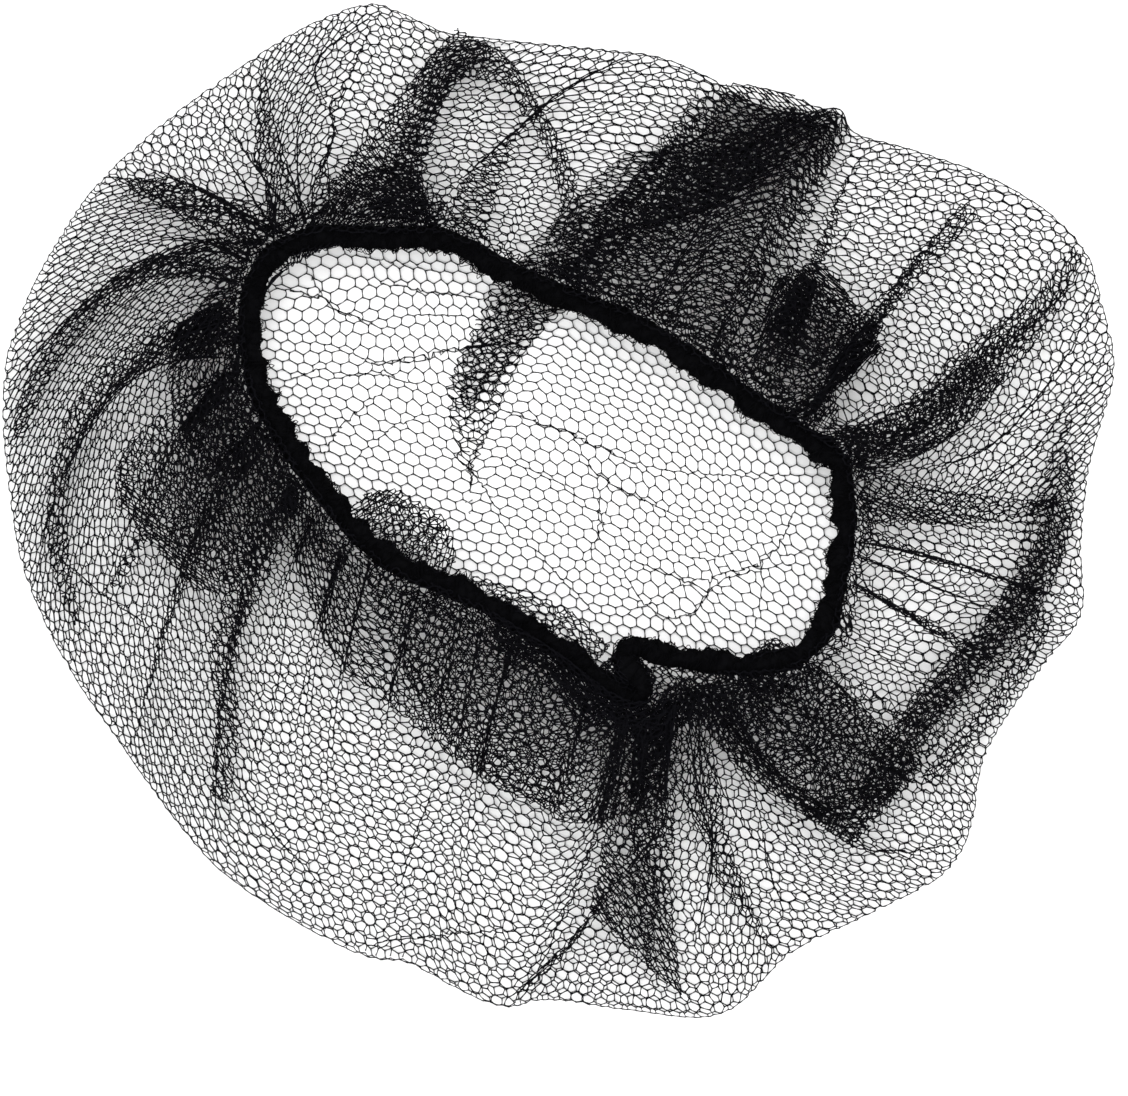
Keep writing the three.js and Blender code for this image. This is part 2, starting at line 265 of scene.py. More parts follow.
def fold_line(row, way):
    """Section number of a fold line at a share of the way in: a parabola through its three values."""
    rim, mid, band = row[:3]
    return rim * (1 - way) * (1 - 2 * way) + mid * 4 * way * (1 - way) + band * way * (2 * way - 1)


def read_table(table, row, column):
    """Values of a table between its rows and columns."""
    low_row = np.clip(np.floor(row).astype(int), 0, table.shape[0] - 2)
    low_column = np.clip(np.floor(column).astype(int), 0, table.shape[1] - 2)
    down = np.clip(row - low_row, 0, 1)
    over = np.clip(column - low_column, 0, 1)
    near = table[low_row, low_column] * (1 - over) + table[low_row, low_column + 1] * over
    far = table[low_row + 1, low_column] * (1 - over) + table[low_row + 1, low_column + 1] * over
    return near * (1 - down) + far * down


class FoldedNet:
    """Where each point of the flat net comes to lie when it is folded over its rim and gathered.

    The cells keep their order and not their size: between folds they are squeezed or stretched to fit.
    """

    columns = 2400
    way_rows = 41
    tuck_rows = 440
    longest_way = 2.2
    way_smoothing = 30

    def __init__(self, net_size, mouth_size, mouth_middle):
        rows = np.array(SECTION_ROWS)
        section = np.arange(SECTIONS * FINE_STEPS) / FINE_STEPS
        self.rim = Outline(fitted(closed_run(rows[:, 0:2], section), *net_size, (0.0, 0.0)))
        self.edge = Outline(fitted(closed_run(rows[:, 2:4], section), *mouth_size, mouth_middle))
        self.heights = Outline(closed_run(rows[:, 4:6], section))
        self.hub = np.array(CREASE_HUB)
        self.dart = np.array(DART_ROWS).T
        turned = self.rim.points - self.hub
        angle = np.unwrap(np.arctan2(turned[:, 1], turned[:, 0]))
        self.turn_angles = np.concatenate([angle + 2 * np.pi * k for k in range(4)] + [[angle[0] + 8 * np.pi]])
        self.lay_rim()
        self.lay_top()
        self.lay_tucks()

    def angle_at(self, section):
        return np.interp(section + SECTIONS, self.rim.sections, self.turn_angles) - 2 * np.pi

    def section_facing(self, angle):
        return np.interp(angle + 2 * np.pi, self.turn_angles, self.rim.sections) - SECTIONS

    def lay_rim(self):
        """The path of the net along the rim, from the middle of the dart all the way round to it again."""
        middle, wide = self.dart[1][-1], self.dart[2][-1]
        start = self.rim.length_at(middle)
        end = start + self.rim.turn
        path = np.array([start, start - wide / 2, end + wide / 2, end])
        run = np.concatenate([[0.0], np.cumsum(np.abs(np.diff(path)))])
        self.length = run[-1]
        self.run = np.linspace(0, self.length, self.columns)
        self.rim_section = self.rim.section_at(np.interp(self.run, run, path))
        angle = self.angle_at(self.rim_section)
        self.angle = np.concatenate([[0.0], np.cumsum(np.abs(np.diff(angle)))])
        turn = np.argmin(np.abs(self.run - wide / 2))
        self.angle += angle[turn] - self.angle[turn]
        self.rim_points = self.rim.at(self.rim_section)
        self.rim_reach = np.linalg.norm(self.rim_points - self.hub, axis=1) - ROLL_OUT
        borders = self.borders(0.0)
        self.border_run = wide / 2 + self.rim.length_at(borders) - (start - wide / 2)

    def lines(self, way):
        found = [fold_line(row, way) for row in FOLD_ROWS]
        return np.array(found + [found[0] + SECTIONS])

    def borders(self, way):
        lines = self.lines(way)
        return (lines[:-1] + lines[1:]) / 2

    def lay_top(self):
        """For each share of the way in, the section where each point of the rim's path comes to lie."""
        border_angle = np.interp(self.border_run, self.run, self.angle)
        border_reach = np.interp(self.border_run, self.run, self.rim_reach)
        way_in = np.linalg.norm(self.rim.at(self.borders(0.0)) - self.edge.at(self.borders(1.0)), axis=1)
        dart_wide = self.dart[2][-1]
        sections, rises = [], []
        for way in np.linspace(0, 1, self.way_rows):
            ring = Outline(self.rim.points + (self.edge.points - self.rim.points) * way)
            lines = ring.length_at(self.lines(way))
            borders = ring.length_at(self.borders(way))
            reach = border_reach + self.roll_length() + way * way_in
            run, path, rise = [0.0], [lines[0]], [0.0]

            def lay(points, heights, until):
                steps = np.cumsum(np.abs(np.diff([path[-1]] + points)))
                run.extend(run[-1] + steps / steps[-1] * (until - run[-1]))
                path.extend(points)
                rise.extend(heights)

            spare = self.border_run[0] * reach[0] / border_reach[0] - (borders[0] - lines[0])
            wide = max(dart_wide * (1 + 0.3 * way), spare * FOLD_ROWS[0][4])
            lay([lines[0] - wide / 2, borders[0]], [-1.0, 0.0], self.border_run[0])
            for k in range(1, len(FOLD_ROWS)):
                layers, take, wide_mid, wide_band = FOLD_ROWS[k][3:]
                spread = (border_angle[k] - border_angle[k - 1]) * (reach[k] + reach[k - 1]) / 2
                spare = spread - (borders[k] - borders[k - 1])
                least = np.interp(way, [0.05, 0.5, 1.0], [0.0, wide_mid, wide_band])
                wide = max(least, spare * take / (layers - 1))
                turns = (layers - 1) // 2 if wide > 0.3 else 0
                points = [lines[k] + wide / 2, lines[k] - wide / 2] * turns + [borders[k]]
                lay(points, [1.0, -1.0] * turns + [0.0], self.border_run[k])
            spare = (self.length - run[-1]) * reach[-1] / border_reach[-1] - (lines[-1] - borders[-1])
            wide = max(dart_wide * (1 + 0.3 * way), spare * FOLD_ROWS[0][4])
            lay([lines[-1] + wide / 2, lines[-1]], [1.0, 0.0], self.length)
            sections.append(ring.section_at(np.interp(self.run, run, path)))
            rises.append(np.interp(self.run, run, rise))
        self.top_sections = np.array(sections)
        self.top_rises = np.array(rises)
        way_in = np.linalg.norm(self.edge.at(self.top_sections[-1]) - self.rim_points, axis=1)
        side = self.way_smoothing
        closed = np.concatenate([way_in[-side:], way_in, way_in[:side]])
        self.way_in = np.convolve(closed, np.ones(2 * side + 1) / (2 * side + 1), "valid")

    def roll_length(self):
        return np.pi * (ROLL_OUT + ROLL_UP) / 2

    def lay_tucks(self):
        """For each point of the rim's path, the share of the way in against the net's own length."""
        self.tuck_ways = np.zeros((self.tuck_rows + 1, self.columns))
        self.tuck_rises = np.zeros((self.tuck_rows + 1, self.columns))
        self.way_length = np.ones(self.columns)
        net_way = np.linspace(0, self.longest_way, self.tuck_rows + 1)
        edges = []
        for tuck in TUCKS:
            section, outer, inner = np.array(tuck).T
            for turn in (-1, 0, 1):
                place = self.rim_section + turn * SECTIONS
                inside = (place > section[0]) & (place < section[-1])
                if inside.any():
                    edges.append((inside, np.interp(place, section, outer), np.interp(place, section, inner)))
        edges.sort(key=lambda edge: edge[1][edge[0]].mean())
        for column in range(self.columns):
            run, way, rise = [0.0], [0.0], [0.0]
            for inside, outer, inner in edges:
                if inside[column] and inner[column] - outer[column] > 0.004:
                    run.append(run[-1] + inner[column] - way[-1])
                    way.append(inner[column])
                    rise.append(1.0)
                    run.append(run[-1] + inner[column] - outer[column])
                    way.append(outer[column])
                    rise.append(-1.0)
            run.append(run[-1] + 1 - way[-1])
            way.append(1.0)
            rise.append(0.0)
            self.tuck_ways[:, column] = np.interp(net_way, run, way)
            self.tuck_rises[:, column] = np.interp(net_way, run, rise)
            self.way_length[column] = run[-1]

    def spread_of_dart(self, share):
        """Layout angle of the dart's middle and the angle that it takes up, at shares of the way to the rim."""
        middle = self.angle_at(np.interp(share, self.dart[0], self.dart[1]))
        wide = np.interp(share, self.dart[0], self.dart[2])
        reach = np.interp(middle, self.angle, self.rim_reach) * np.maximum(share, 0.02)
        return middle, wide / reach

    def copies(self, point):
        """Chart angles of a flat point: one, or two where the dart doubles the net."""
        reach = np.linalg.norm(point, axis=1)
        angle = np.arctan2(point[:, 1], point[:, 0])
        share = np.clip(reach / self.rim_reach.mean(), 0, 1)
        middle, spread = self.spread_of_dart(share)
        first = middle - spread
        angle = first + np.mod(angle - first, 2 * np.pi)
        again = angle + 2 * np.pi
        return angle, again, again < middle + 2 * np.pi + spread

    def place(self, point, near, wrinkle):
        """Place in the folded net of each flat point, its share of the way in, and whether there is net."""
        reach = np.linalg.norm(point, axis=1)
        angle = np.arctan2(point[:, 1], point[:, 0])
        angle = near + np.mod(angle - near + np.pi, 2 * np.pi) - np.pi
        run = np.interp(angle, self.angle, self.run)
        column = run / self.length * (self.columns - 1)
        rim_reach = np.interp(run, self.run, self.rim_reach)
        share = np.clip(reach / rim_reach, 0, 1)
        # the lower layer: straight out from the hub, folded back along the dart
        middle, spread = self.spread_of_dart(np.clip(reach / self.rim_reach.mean(), 0, 1))
        low, high = middle - spread / 2, middle + 2 * np.pi + spread / 2
        facing = np.where(angle < low, 2 * low - angle, np.where(angle > high, 2 * high - angle, angle))
        floor_section = self.section_facing(facing)
        blend = np.clip((share - 0.8) / 0.2, 0, 1)
        floor_section = floor_section * (1 - blend) + read_table(self.top_sections, 0 * run, column) * blend
        rim = self.rim.at(floor_section)
        out = (rim - self.hub) / np.linalg.norm(rim - self.hub, axis=1)[:, None]
        inner_rim = rim - out * ROLL_OUT
        on_floor = self.hub + (inner_rim - self.hub) * share[:, None]
        # the roll at the rim
        turn = np.clip((reach - rim_reach) / self.roll_length(), 0, 1) * np.pi - np.pi / 2
        on_roll = inner_rim + out * (ROLL_OUT * np.cos(turn))[:, None]
        # the top layer
        way_in = np.interp(run, self.run, self.way_in)
        net_way = np.clip((reach - rim_reach - self.roll_length()) / way_in, 0, self.longest_way)
        tuck_row = net_way / self.longest_way * self.tuck_rows
        way = read_table(self.tuck_ways, tuck_row, column)
        section = read_table(self.top_sections, way * (self.way_rows - 1), column)
        shift, lift = wrinkle(run, reach, way)
        spot_rim = self.rim.at(section)
        out = (spot_rim - self.hub) / np.linalg.norm(spot_rim - self.hub, axis=1)[:, None]
        inner_rim = spot_rim - out * ROLL_OUT
        on_top = inner_rim + (self.edge.at(section) - inner_rim) * way[:, None]
        across = np.stack([-out[:, 1], out[:, 0]], axis=1)
        on_top = on_top + across * shift[:, None]
        folds = read_table(self.top_rises, way * (self.way_rows - 1), column)
        tucks = read_table(self.tuck_rises, tuck_row, column)
        height = self.top_height(section, way) + folds * np.minimum(way * 5, 1) + tucks * 0.8 + lift
        is_floor = reach <= rim_reach
        is_top = reach > rim_reach + self.roll_length()
        plan = np.where(is_floor[:, None], on_floor, np.where(is_top[:, None], on_top, on_roll))
        rise = THREAD_LIFT + np.where(is_floor, 0, np.where(is_top, height, ROLL_UP * (1 + np.sin(turn))))
        there = reach <= rim_reach + self.roll_length() + way_in * np.interp(run, self.run, self.way_length)
        return np.column_stack([plan, rise]), np.where(is_floor, 0, way), there

    def top_height(self, section, way):
        """Height of the top layer, as on the part: up from the rim to its crest, and in to the elastic."""
        crest, lift = self.heights.at(section).T
        crest = crest * NET_HEIGHT - CREST_BELOW
        lift = lift * NET_HEIGHT
        near = 1 - way < CREST_AT
        start = np.where(near, lift, 2 * ROLL_UP)
        run = np.where(near, (1 - way) / CREST_AT, way / (1 - CREST_AT))
        return start + (crest - start) * run * run * (3 - 2 * run)


def hex_strands(reach, cell_long, cell_high, level_length):
    """Ends of every strand of a flat net of hexagons, and whether it is one of the level ones."""
    across, up = int(reach / cell_long) + 2, int(reach / cell_high) + 2
    column, row = np.meshgrid(np.arange(-across, across + 1), np.arange(-up, up + 1), indexing="ij")
    x = column * cell_long
    y = row * cell_high + column % 2 * cell_high / 2
    half_level, half_high = level_length / 2, cell_high / 2
    corners = [
        (-half_level, half_high), (half_level, half_high), (cell_long - half_level, 0), (half_level, -half_high),
    ]
    spots = [np.stack([x + dx, y + dy], axis=-1).reshape(-1, 2) for dx, dy in corners]
    starts = np.concatenate(spots[0:3])
    ends = np.concatenate(spots[1:4])
    level = np.repeat([True, False, False], len(spots[0]))
    return starts, ends, level


def knot_shift(point, size, seed):
    """The small shift of each knot from its even place, always the same for the same knot."""
    key = np.round(point * 20).astype(np.int64)
    mixed = (key[:, 0] * 73856093) ^ (key[:, 1] * 19349663) ^ seed
    mixed = ((mixed ^ (mixed >> 13)) * 1274126177) & 0xFFFFFFFF
    share = np.stack([mixed & 0xFFFF, mixed >> 16], axis=1) / 65535.0
    return (share - 0.5) * 2 * size


def slow_bend(point):
    """The gentle bends that the net's rows take as it lies."""
    x, y = point.T
    along = 2.2 * np.sin(y / 31 + 0.6) + 1.1 * np.sin(x / 17 - y / 23 + 1.0) + 0.5 * np.sin(y / 7.3 + x / 19)
    up = 3.0 * np.sin(x / 37 + 1.9) + 1.0 * np.sin(y / 15 + x / 29) + 0.5 * np.sin(x / 8.1 - y / 21)
    return np.stack([along, up], axis=1)


class Wrinkles:
    """Fine gathers of the top layer, deeper towards the elastic: waves along the net's path."""

    def __init__(self, seed, count, shortest, longest, strength):
        random = np.random.default_rng(seed)
        self.length = random.uniform(shortest, longest, count)
        self.phase = random.uniform(0, 2 * np.pi, count)
        self.drift = random.uniform(-1.2, 1.2, count)
        self.beat = random.uniform(40, 90, count)
        self.beat_phase = random.uniform(0, 2 * np.pi, count)
        self.strength = strength

    def __call__(self, run, reach, way):
        shift, lift = 0 * run, 0 * run
        for length, phase, drift, beat, beat_phase in zip(
            self.length, self.phase, self.drift, self.beat, self.beat_phase
        ):
            wave = 2 * np.pi * run / length + phase + drift * way * 3
            much = np.clip(np.sin(2 * np.pi * run / beat + beat_phase + drift * way) * 1.2, 0, 1)
            deep = self.strength * length / (2 * np.pi) * much * (0.08 + 0.92 * way**1.3)
            shift = shift + deep * np.sin(wave)
            lift = lift + 0.5 * deep * np.cos(wave)
        return shift, lift


# Pleats that lie on the top layer. They are patches of net of their own, laid on the folded net and not
# joined to it, each a strip folded into two layers. squeeze is the share of its own width that the net
# is pushed together to, and layers how many such strips lie there. The points are the strip's two edges,
# x y and x y, as shares of half the net's length and width.
PLEATS = [
    (0.9, 1, [(0.03, 0.94, 0.13, 0.95), (-0.1, 0.88, 0.16, 0.86), (-0.13, 0.75, 0.18, 0.74),
     (-0.15, 0.6, 0.2, 0.62), (-0.2, 0.5, 0.2, 0.5), (-0.2, 0.38, 0.2, 0.38)]),
    (0.9, 1, [(0.04, 0.92, 0.12, 0.92), (-0.02, 0.78, 0.07, 0.79), (-0.09, 0.62, 0, 0.63),
     (-0.12, 0.5, -0.04, 0.5), (-0.2, 0.38, -0.1, 0.38)]),
    (0.75, 1, [(0.18, 0.64, 0.34, 0.62), (0.19, 0.55, 0.36, 0.55), (0.17, 0.45, 0.35, 0.47),
     (0.15, 0.38, 0.33, 0.37)]),
    (0.8, 1, [(0.22, 0.67, 0.26, 0.67), (0.19, 0.61, 0.35, 0.62), (0.18, 0.55, 0.36, 0.55),
     (0.2, 0.5, 0.34, 0.5), (0.24, 0.46, 0.3, 0.46)]),
    (0.6, 1, [(0.4, 0.92, 0.44, 0.92), (0.37, 0.75, 0.41, 0.75), (0.34, 0.6, 0.38, 0.6),
     (0.3, 0.45, 0.37, 0.46), (0.28, 0.37, 0.36, 0.37)]),
    (0.55, 1, [(0.62, 0.96, 0.65, 0.95), (0.6, 0.82, 0.655, 0.82), (0.53, 0.66, 0.635, 0.66),
     (0.49, 0.5, 0.6, 0.5), (0.42, 0.4, 0.54, 0.4), (0.38, 0.36, 0.5, 0.33)]),
    (0.5, 1, [(0.56, 0.66, 0.635, 0.66), (0.53, 0.5, 0.6, 0.5), (0.44, 0.4, 0.54, 0.4)]),
    (0.7, 1, [(0.79, 0.6, 0.82, 0.6), (0.83, 0.4, 0.89, 0.4), (0.81, 0.2, 0.88, 0.2),
     (0.78, 0.05, 0.85, 0.05), (0.76, -0.1, 0.83, -0.08), (0.78, -0.22, 0.84, -0.2)]),
    (0.7, 2, [(0.5, -0.02, 0.42, -0.22), (0.6, -0.03, 0.55, -0.28), (0.72, -0.06, 0.7, -0.3),
     (0.85, -0.09, 0.82, -0.31)]),
    (0.85, 1, [(-0.2, -0.28, -0.2, -0.33), (-0.05, -0.27, -0.08, -0.43), (0.1, -0.27, 0.06, -0.52),
     (0.25, -0.3, 0.22, -0.56), (0.33, -0.27, 0.32, -0.54)]),
    (0.9, 1, [(0.28, -0.3, 0.44, -0.29), (0.36, -0.45, 0.52, -0.45), (0.42, -0.56, 0.57, -0.56),
     (0.46, -0.68, 0.69, -0.74)]),
    (0.5, 1, [(-0.62, 0.3, -0.4, 0.35), (-0.6, 0.42, -0.49, 0.44), (-0.585, 0.56, -0.51, 0.58),
     (-0.56, 0.72, -0.48, 0.72)]),
    (0.8, 1, [(-0.635, 0.1, -0.6, -0.1), (-0.62, -0.1, -0.57, -0.14), (-0.62, -0.3, -0.575, -0.3),
     (-0.61, -0.45, -0.575, -0.45), (-0.6, -0.6, -0.58, -0.6)]),
    (0.8, 1, [(-0.42, -0.22, -0.36, -0.24), (-0.41, -0.45, -0.35, -0.45), (-0.385, -0.6, -0.33, -0.6),
     (-0.31, -0.72, -0.26, -0.72), (-0.25, -0.86, -0.21, -0.86)]),
    (0.8, 1, [(-0.57, -0.12, -0.38, -0.22), (-0.575, -0.3, -0.39, -0.35), (-0.56, -0.47, -0.4, -0.48)]),
    (0.8, 1, [(-0.66, 0.2, -0.66, 0.13), (-0.8, 0.18, -0.8, 0.12), (-0.93, 0.14, -0.93, 0.1)]),
    (0.8, 1, [(-0.64, 0.09, -0.63, 0.04), (-0.79, 0.05, -0.78, 0), (-0.87, -0.05, -0.83, -0.07),
     (-0.91, -0.18, -0.87, -0.18), (-0.92, -0.32, -0.88, -0.3), (-0.89, -0.45, -0.87, -0.43)]),
    (0.8, 1, [(-0.63, 0.02, -0.6, -0.04), (-0.76, -0.1, -0.71, -0.14), (-0.82, -0.28, -0.77, -0.3),
     (-0.8, -0.45, -0.76, -0.45), (-0.73, -0.6, -0.7, -0.57), (-0.62, -0.71, -0.61, -0.69)]),
    (0.8, 1, [(-0.29, -0.24, -0.275, -0.18), (-0.24, -0.26, -0.235, -0.145), (-0.17, -0.27, -0.17, -0.138),
     (-0.12, -0.27, -0.11, -0.155), (-0.07, -0.26, -0.07, -0.21)]),
    (0.8, 1, [(-0.27, -0.24, -0.26, -0.17), (-0.2, -0.26, -0.2, -0.15), (-0.12, -0.27, -0.11, -0.165)]),
    (0.5, 1, [(-0.03, -0.26, -0.03, -0.215), (0.05, -0.27, 0.05, -0.195), (0.1, -0.27, 0.1, -0.185),
     (0.17, -0.27, 0.17, -0.18), (0.24, -0.27, 0.25, -0.2)]),
    (0.35, 2, [(0.24, -0.27, 0.27, -0.2), (0.28, -0.28, 0.3, -0.19), (0.32, -0.28, 0.33, -0.2),
     (0.35, -0.27, 0.355, -0.21)]),
    (0.5, 1, [(0.33, -0.2, 0.36, -0.3), (0.39, -0.15, 0.43, -0.27), (0.45, -0.12, 0.49, -0.24),
     (0.53, -0.07, 0.58, -0.19)]),
    (0.5, 1, [(0.465, -0.6, 0.475, -0.6), (0.46, -0.7, 0.47, -0.7), (0.45, -0.8, 0.46, -0.8),
     (0.42, -0.9, 0.43, -0.9)]),
    (0.5, 1, [(-0.58, 0.56, -0.52, 0.55), (-0.57, 0.66, -0.51, 0.62), (-0.51, 0.72, -0.48, 0.65),
     (-0.43, 0.71, -0.43, 0.66), (-0.36, 0.67, -0.37, 0.63)]),
    (0.6, 1, [(-0.36, 0.67, -0.37, 0.64), (-0.28, 0.62, -0.29, 0.58), (-0.2, 0.54, -0.23, 0.51),
     (-0.16, 0.46, -0.22, 0.44)]),
    (0.5, 1, [(-0.62, 0.1, -0.62, 0.04), (-0.56, 0.2, -0.6, 0.3), (-0.5, 0.26, -0.52, 0.42),
     (-0.42, 0.3, -0.4, 0.4)]),
    (0.5, 1, [(0.06, 0.78, 0, 0.84), (0.03, 0.7, -0.07, 0.74), (-0.02, 0.62, -0.1, 0.66),
     (-0.06, 0.56, -0.12, 0.58)]),
    (0.6, 1, [(0.88, 0.3, 0.93, 0.3), (0.9, 0.15, 0.94, 0.15), (0.88, 0, 0.92, 0),
     (0.86, -0.12, 0.9, -0.12)]),
    (0.8, 1, [(0.82, 0.5, 0.87, 0.5), (0.84, 0.35, 0.9, 0.35), (0.82, 0.2, 0.9, 0.2),
     (0.79, 0.05, 0.87, 0.05), (0.77, -0.08, 0.86, -0.08)]),
    (0.9, 1, [(-0.6, -0.08, -0.42, -0.21), (-0.66, -0.22, -0.4, -0.34), (-0.7, -0.36, -0.39, -0.48),
     (-0.66, -0.45, -0.46, -0.52)]),
]

# The same for a patch on the lower layer, in the mouth
FLOOR_PLEATS = [
    (0.9, 1, [(-0.27, 0.34, -0.13, 0.34), (-0.265, 0.25, -0.15, 0.25), (-0.25, 0.15, -0.17, 0.15),
     (-0.22, 0.07, -0.19, 0.07)]),
]

# Sharp creases, where the net is pushed together. layer 0 is the lower one and 1 the top one, push
# how far the net moves in to the line and reach how far off that is felt, in millimetres. The points
# are shares of half the net's length and width.
CREASES = [
    (0, 1.84, 4.5, [(-0.47, 0.19), (-0.36, 0.235), (-0.27, 0.276)]),
    (0, 1.38, 4, [(-0.38, 0.17), (-0.33, 0.2), (-0.28, 0.23)]),
    (0, 2.76, 5, [(-0.39, 0.054), (-0.35, 0.084), (-0.31, 0.115), (-0.267, 0.16), (-0.2, 0.215)]),
    (0, 1.725, 5, [(-0.435, -0.015), (-0.386, 0.023), (-0.28, 0.07)]),
    (0, 2.07, 6, [(-0.62, 0.084), (-0.53, 0.107), (-0.39, 0.123)]),
    (0, 1.495, 4, [(-0.51, -0.07), (-0.46, 0)]),
    (0, 2.07, 4, [(-0.386, -0.17), (-0.38, -0.107), (-0.365, -0.04), (-0.344, 0.015)]),
    (0, 2.3, 4.5, [(-0.14, 0.1), (0, 0.13), (0.14, 0.142)]),
    (0, 1.38, 4, [(0.14, 0.142), (0.27, 0.207), (0.42, 0.3)]),
    (0, 1.84, 4.5, [(0, 0.107), (0.105, 0.084), (0.25, 0.092)]),
    (0, 2.07, 4, [(0.077, 0.077), (0.105, 0.023), (0.133, -0.04)]),
    (0, 2.07, 4, [(0.42, 0.23), (0.42, 0.115), (0.32, 0)]),
    (0, 1.61, 4, [(0.49, 0.176), (0.44, 0.13)]),
    (0, 1.61, 4, [(0.21, -0.03), (0.386, 0)]),
    (0, 1.725, 5, [(0.34, -0.04), (0.4, 0.06), (0.5, 0.15)]),
    (1, 2.2, 4, [(-0.5, 0.72), (-0.42, 0.7), (-0.3, 0.62), (-0.2, 0.53)]),
    (1, 1.98, 4, [(-0.27, 0.83), (-0.33, 0.72), (-0.37, 0.6), (-0.42, 0.42)]),
    (1, 1.54, 4, [(-0.46, 0.65), (-0.44, 0.52)]),
    (1, 1.76, 4, [(-0.64, 0.32), (-0.66, 0.42), (-0.75, 0.52), (-0.69, 0.69)]),
    (1, 2.64, 4, [(0.5, -0.45), (0.48, -0.6), (0.46, -0.75), (0.42, -0.9)]),
    (1, 1.98, 5, [(0.12, -0.98), (0.28, -0.85), (0.38, -0.78)]),
    (1, 1.76, 4, [(0.44, -0.68), (0.58, -0.715), (0.7, -0.74)]),
    (1, 1.76, 4, [(-0.72, -0.6), (-0.6, -0.62), (-0.48, -0.63)]),
    (1, 1.76, 4, [(-0.26, -0.8), (-0.1, -0.87), (0.02, -0.91)]),
    (1, 1.98, 4, [(0.55, 0.23), (0.7, 0.28), (0.86, 0.32)]),
    (1, 2.42, 4, [(0.58, 0.15), (0.7, 0.15), (0.83, 0.14)]),
    (1, 1.98, 4, [(0.6, -0.03), (0.72, -0.06), (0.88, -0.09)]),
    (1, 1.98, 4, [(0.82, -0.31), (0.9, -0.27), (0.98, -0.2)]),
    (0, 1.84, 5, [(-0.62, 0.2), (-0.55, 0.13), (-0.47, 0.1)]),
    (0, 1.61, 4, [(-0.2, -0.02), (-0.1, -0.05), (0, -0.12)]),
    (0, 1.725, 4, [(0.2, -0.06), (0.3, -0.1), (0.36, -0.04), (0.38, 0.05)]),
    (0, 1.725, 4, [(0.13, -0.1), (0.13, 0), (0.1, 0.08)]),
    (0, 1.495, 4, [(0.33, 0.1), (0.36, -0.02), (0.34, -0.12)]),
    (1, 1.98, 4, [(-0.95, 0.16), (-0.8, 0.18), (-0.66, 0.18)]),
    (1, 1.76, 4, [(0.6, 0.9), (0.58, 0.75), (0.52, 0.55)]),
    (0, 1.38, 4, [(-0.52, 0.22), (-0.44, 0.25), (-0.36, 0.28)]),
    (0, 1.38, 4, [(-0.5, 0.03), (-0.42, 0.05), (-0.3, 0.05)]),
    (0, 1.495, 4, [(-0.33, -0.15), (-0.3, -0.05), (-0.24, 0.03)]),
    (0, 1.38, 4, [(-0.08, 0.02), (0.04, 0.03), (0.12, -0.01)]),
    (0, 1.38, 4, [(0.02, -0.1), (0.1, -0.13), (0.2, -0.16)]),
    (0, 1.38, 4, [(0.4, 0.12), (0.45, 0.03), (0.47, -0.06)]),
    (0, 1.38, 4, [(0.28, 0.02), (0.36, 0.08), (0.44, 0.19)]),
    (0, 1.38, 4, [(0.24, -0.14), (0.3, -0.05), (0.33, 0.03)]),
    (1, 1.76, 4, [(0.3, 0.95), (0.27, 0.85), (0.24, 0.7)]),
    (1, 1.76, 4, [(0.7, 0.92), (0.71, 0.75), (0.68, 0.55), (0.6, 0.42)]),
    (1, 1.54, 4, [(0.76, 0.7), (0.74, 0.55), (0.66, 0.4)]),
    (1, 1.76, 4, [(-0.9, 0.35), (-0.8, 0.3), (-0.68, 0.24)]),
    (1, 1.65, 4, [(-0.3, -0.45), (-0.24, -0.6), (-0.2, -0.78)]),
    (1, 1.65, 4, [(0.1, -0.6), (0.12, -0.75), (0.16, -0.9)]),
    (1, 1.65, 4, [(0.62, -0.32), (0.7, -0.42), (0.78, -0.5)]),
    (1, 1.65, 4, [(0.56, -0.38), (0.62, -0.5), (0.66, -0.64)]),
    (1, 1.65, 4, [(-0.88, -0.6), (-0.75, -0.7), (-0.6, -0.8)]),
]


# Gathers along the elastic, patches like the pleats: how far the net is squeezed, how many layers, from
# which section to which, and how far out from the elastic they reach in millimetres at both ends.
GATHERS = [
    (0.5, 1, 4.2, 8.4, 6, 9),
    (0.6, 1, 8, 17, 4, 5),
    (0.6, 1, 17, 20.3, 2, 3),
    (0.45, 1, 20, 25.5, 8, 4),
    (0.6, 1, 25, 29.5, 2, 4),
    (0.5, 1, 29, 36, 4, 8),
    (0.6, 1, 36, 38.4, 2, 4),
    (0.5, 1, 38, 46.4, 5, 10),
    (0.6, 1, 45.6, 49.4, 8, 5),
    (0.6, 1, 49.2, 52.4, 5, 3),
    (0.6, 1, 52, 56.4, 3, 4),
    (0.35, 2, 39.5, 44.6, 3, 6),
]

# Height of the pleats in the mouth over the floor, in millimetres
FLOOR_PLEAT_HEIGHT = 0.6


def smooth_line(points, count):
    """An open line through points, read at even steps."""
    ends = np.concatenate([2 * points[:1] - points[1:2], points, 2 * points[-1:] - points[-2:-1]])
    place = np.linspace(0, len(points) - 1, count)
    row = np.minimum(np.floor(place).astype(int), len(points) - 2)
    part = (place - row)[:, None]
    before, here, after, later = (ends[row + step] for step in range(4))
    return curve_between(before, here, after, later, part)


# Grid steps over which the top layer's height is carried past its edges, so pleats can reach over them
SURFACE_SPREAD = 14


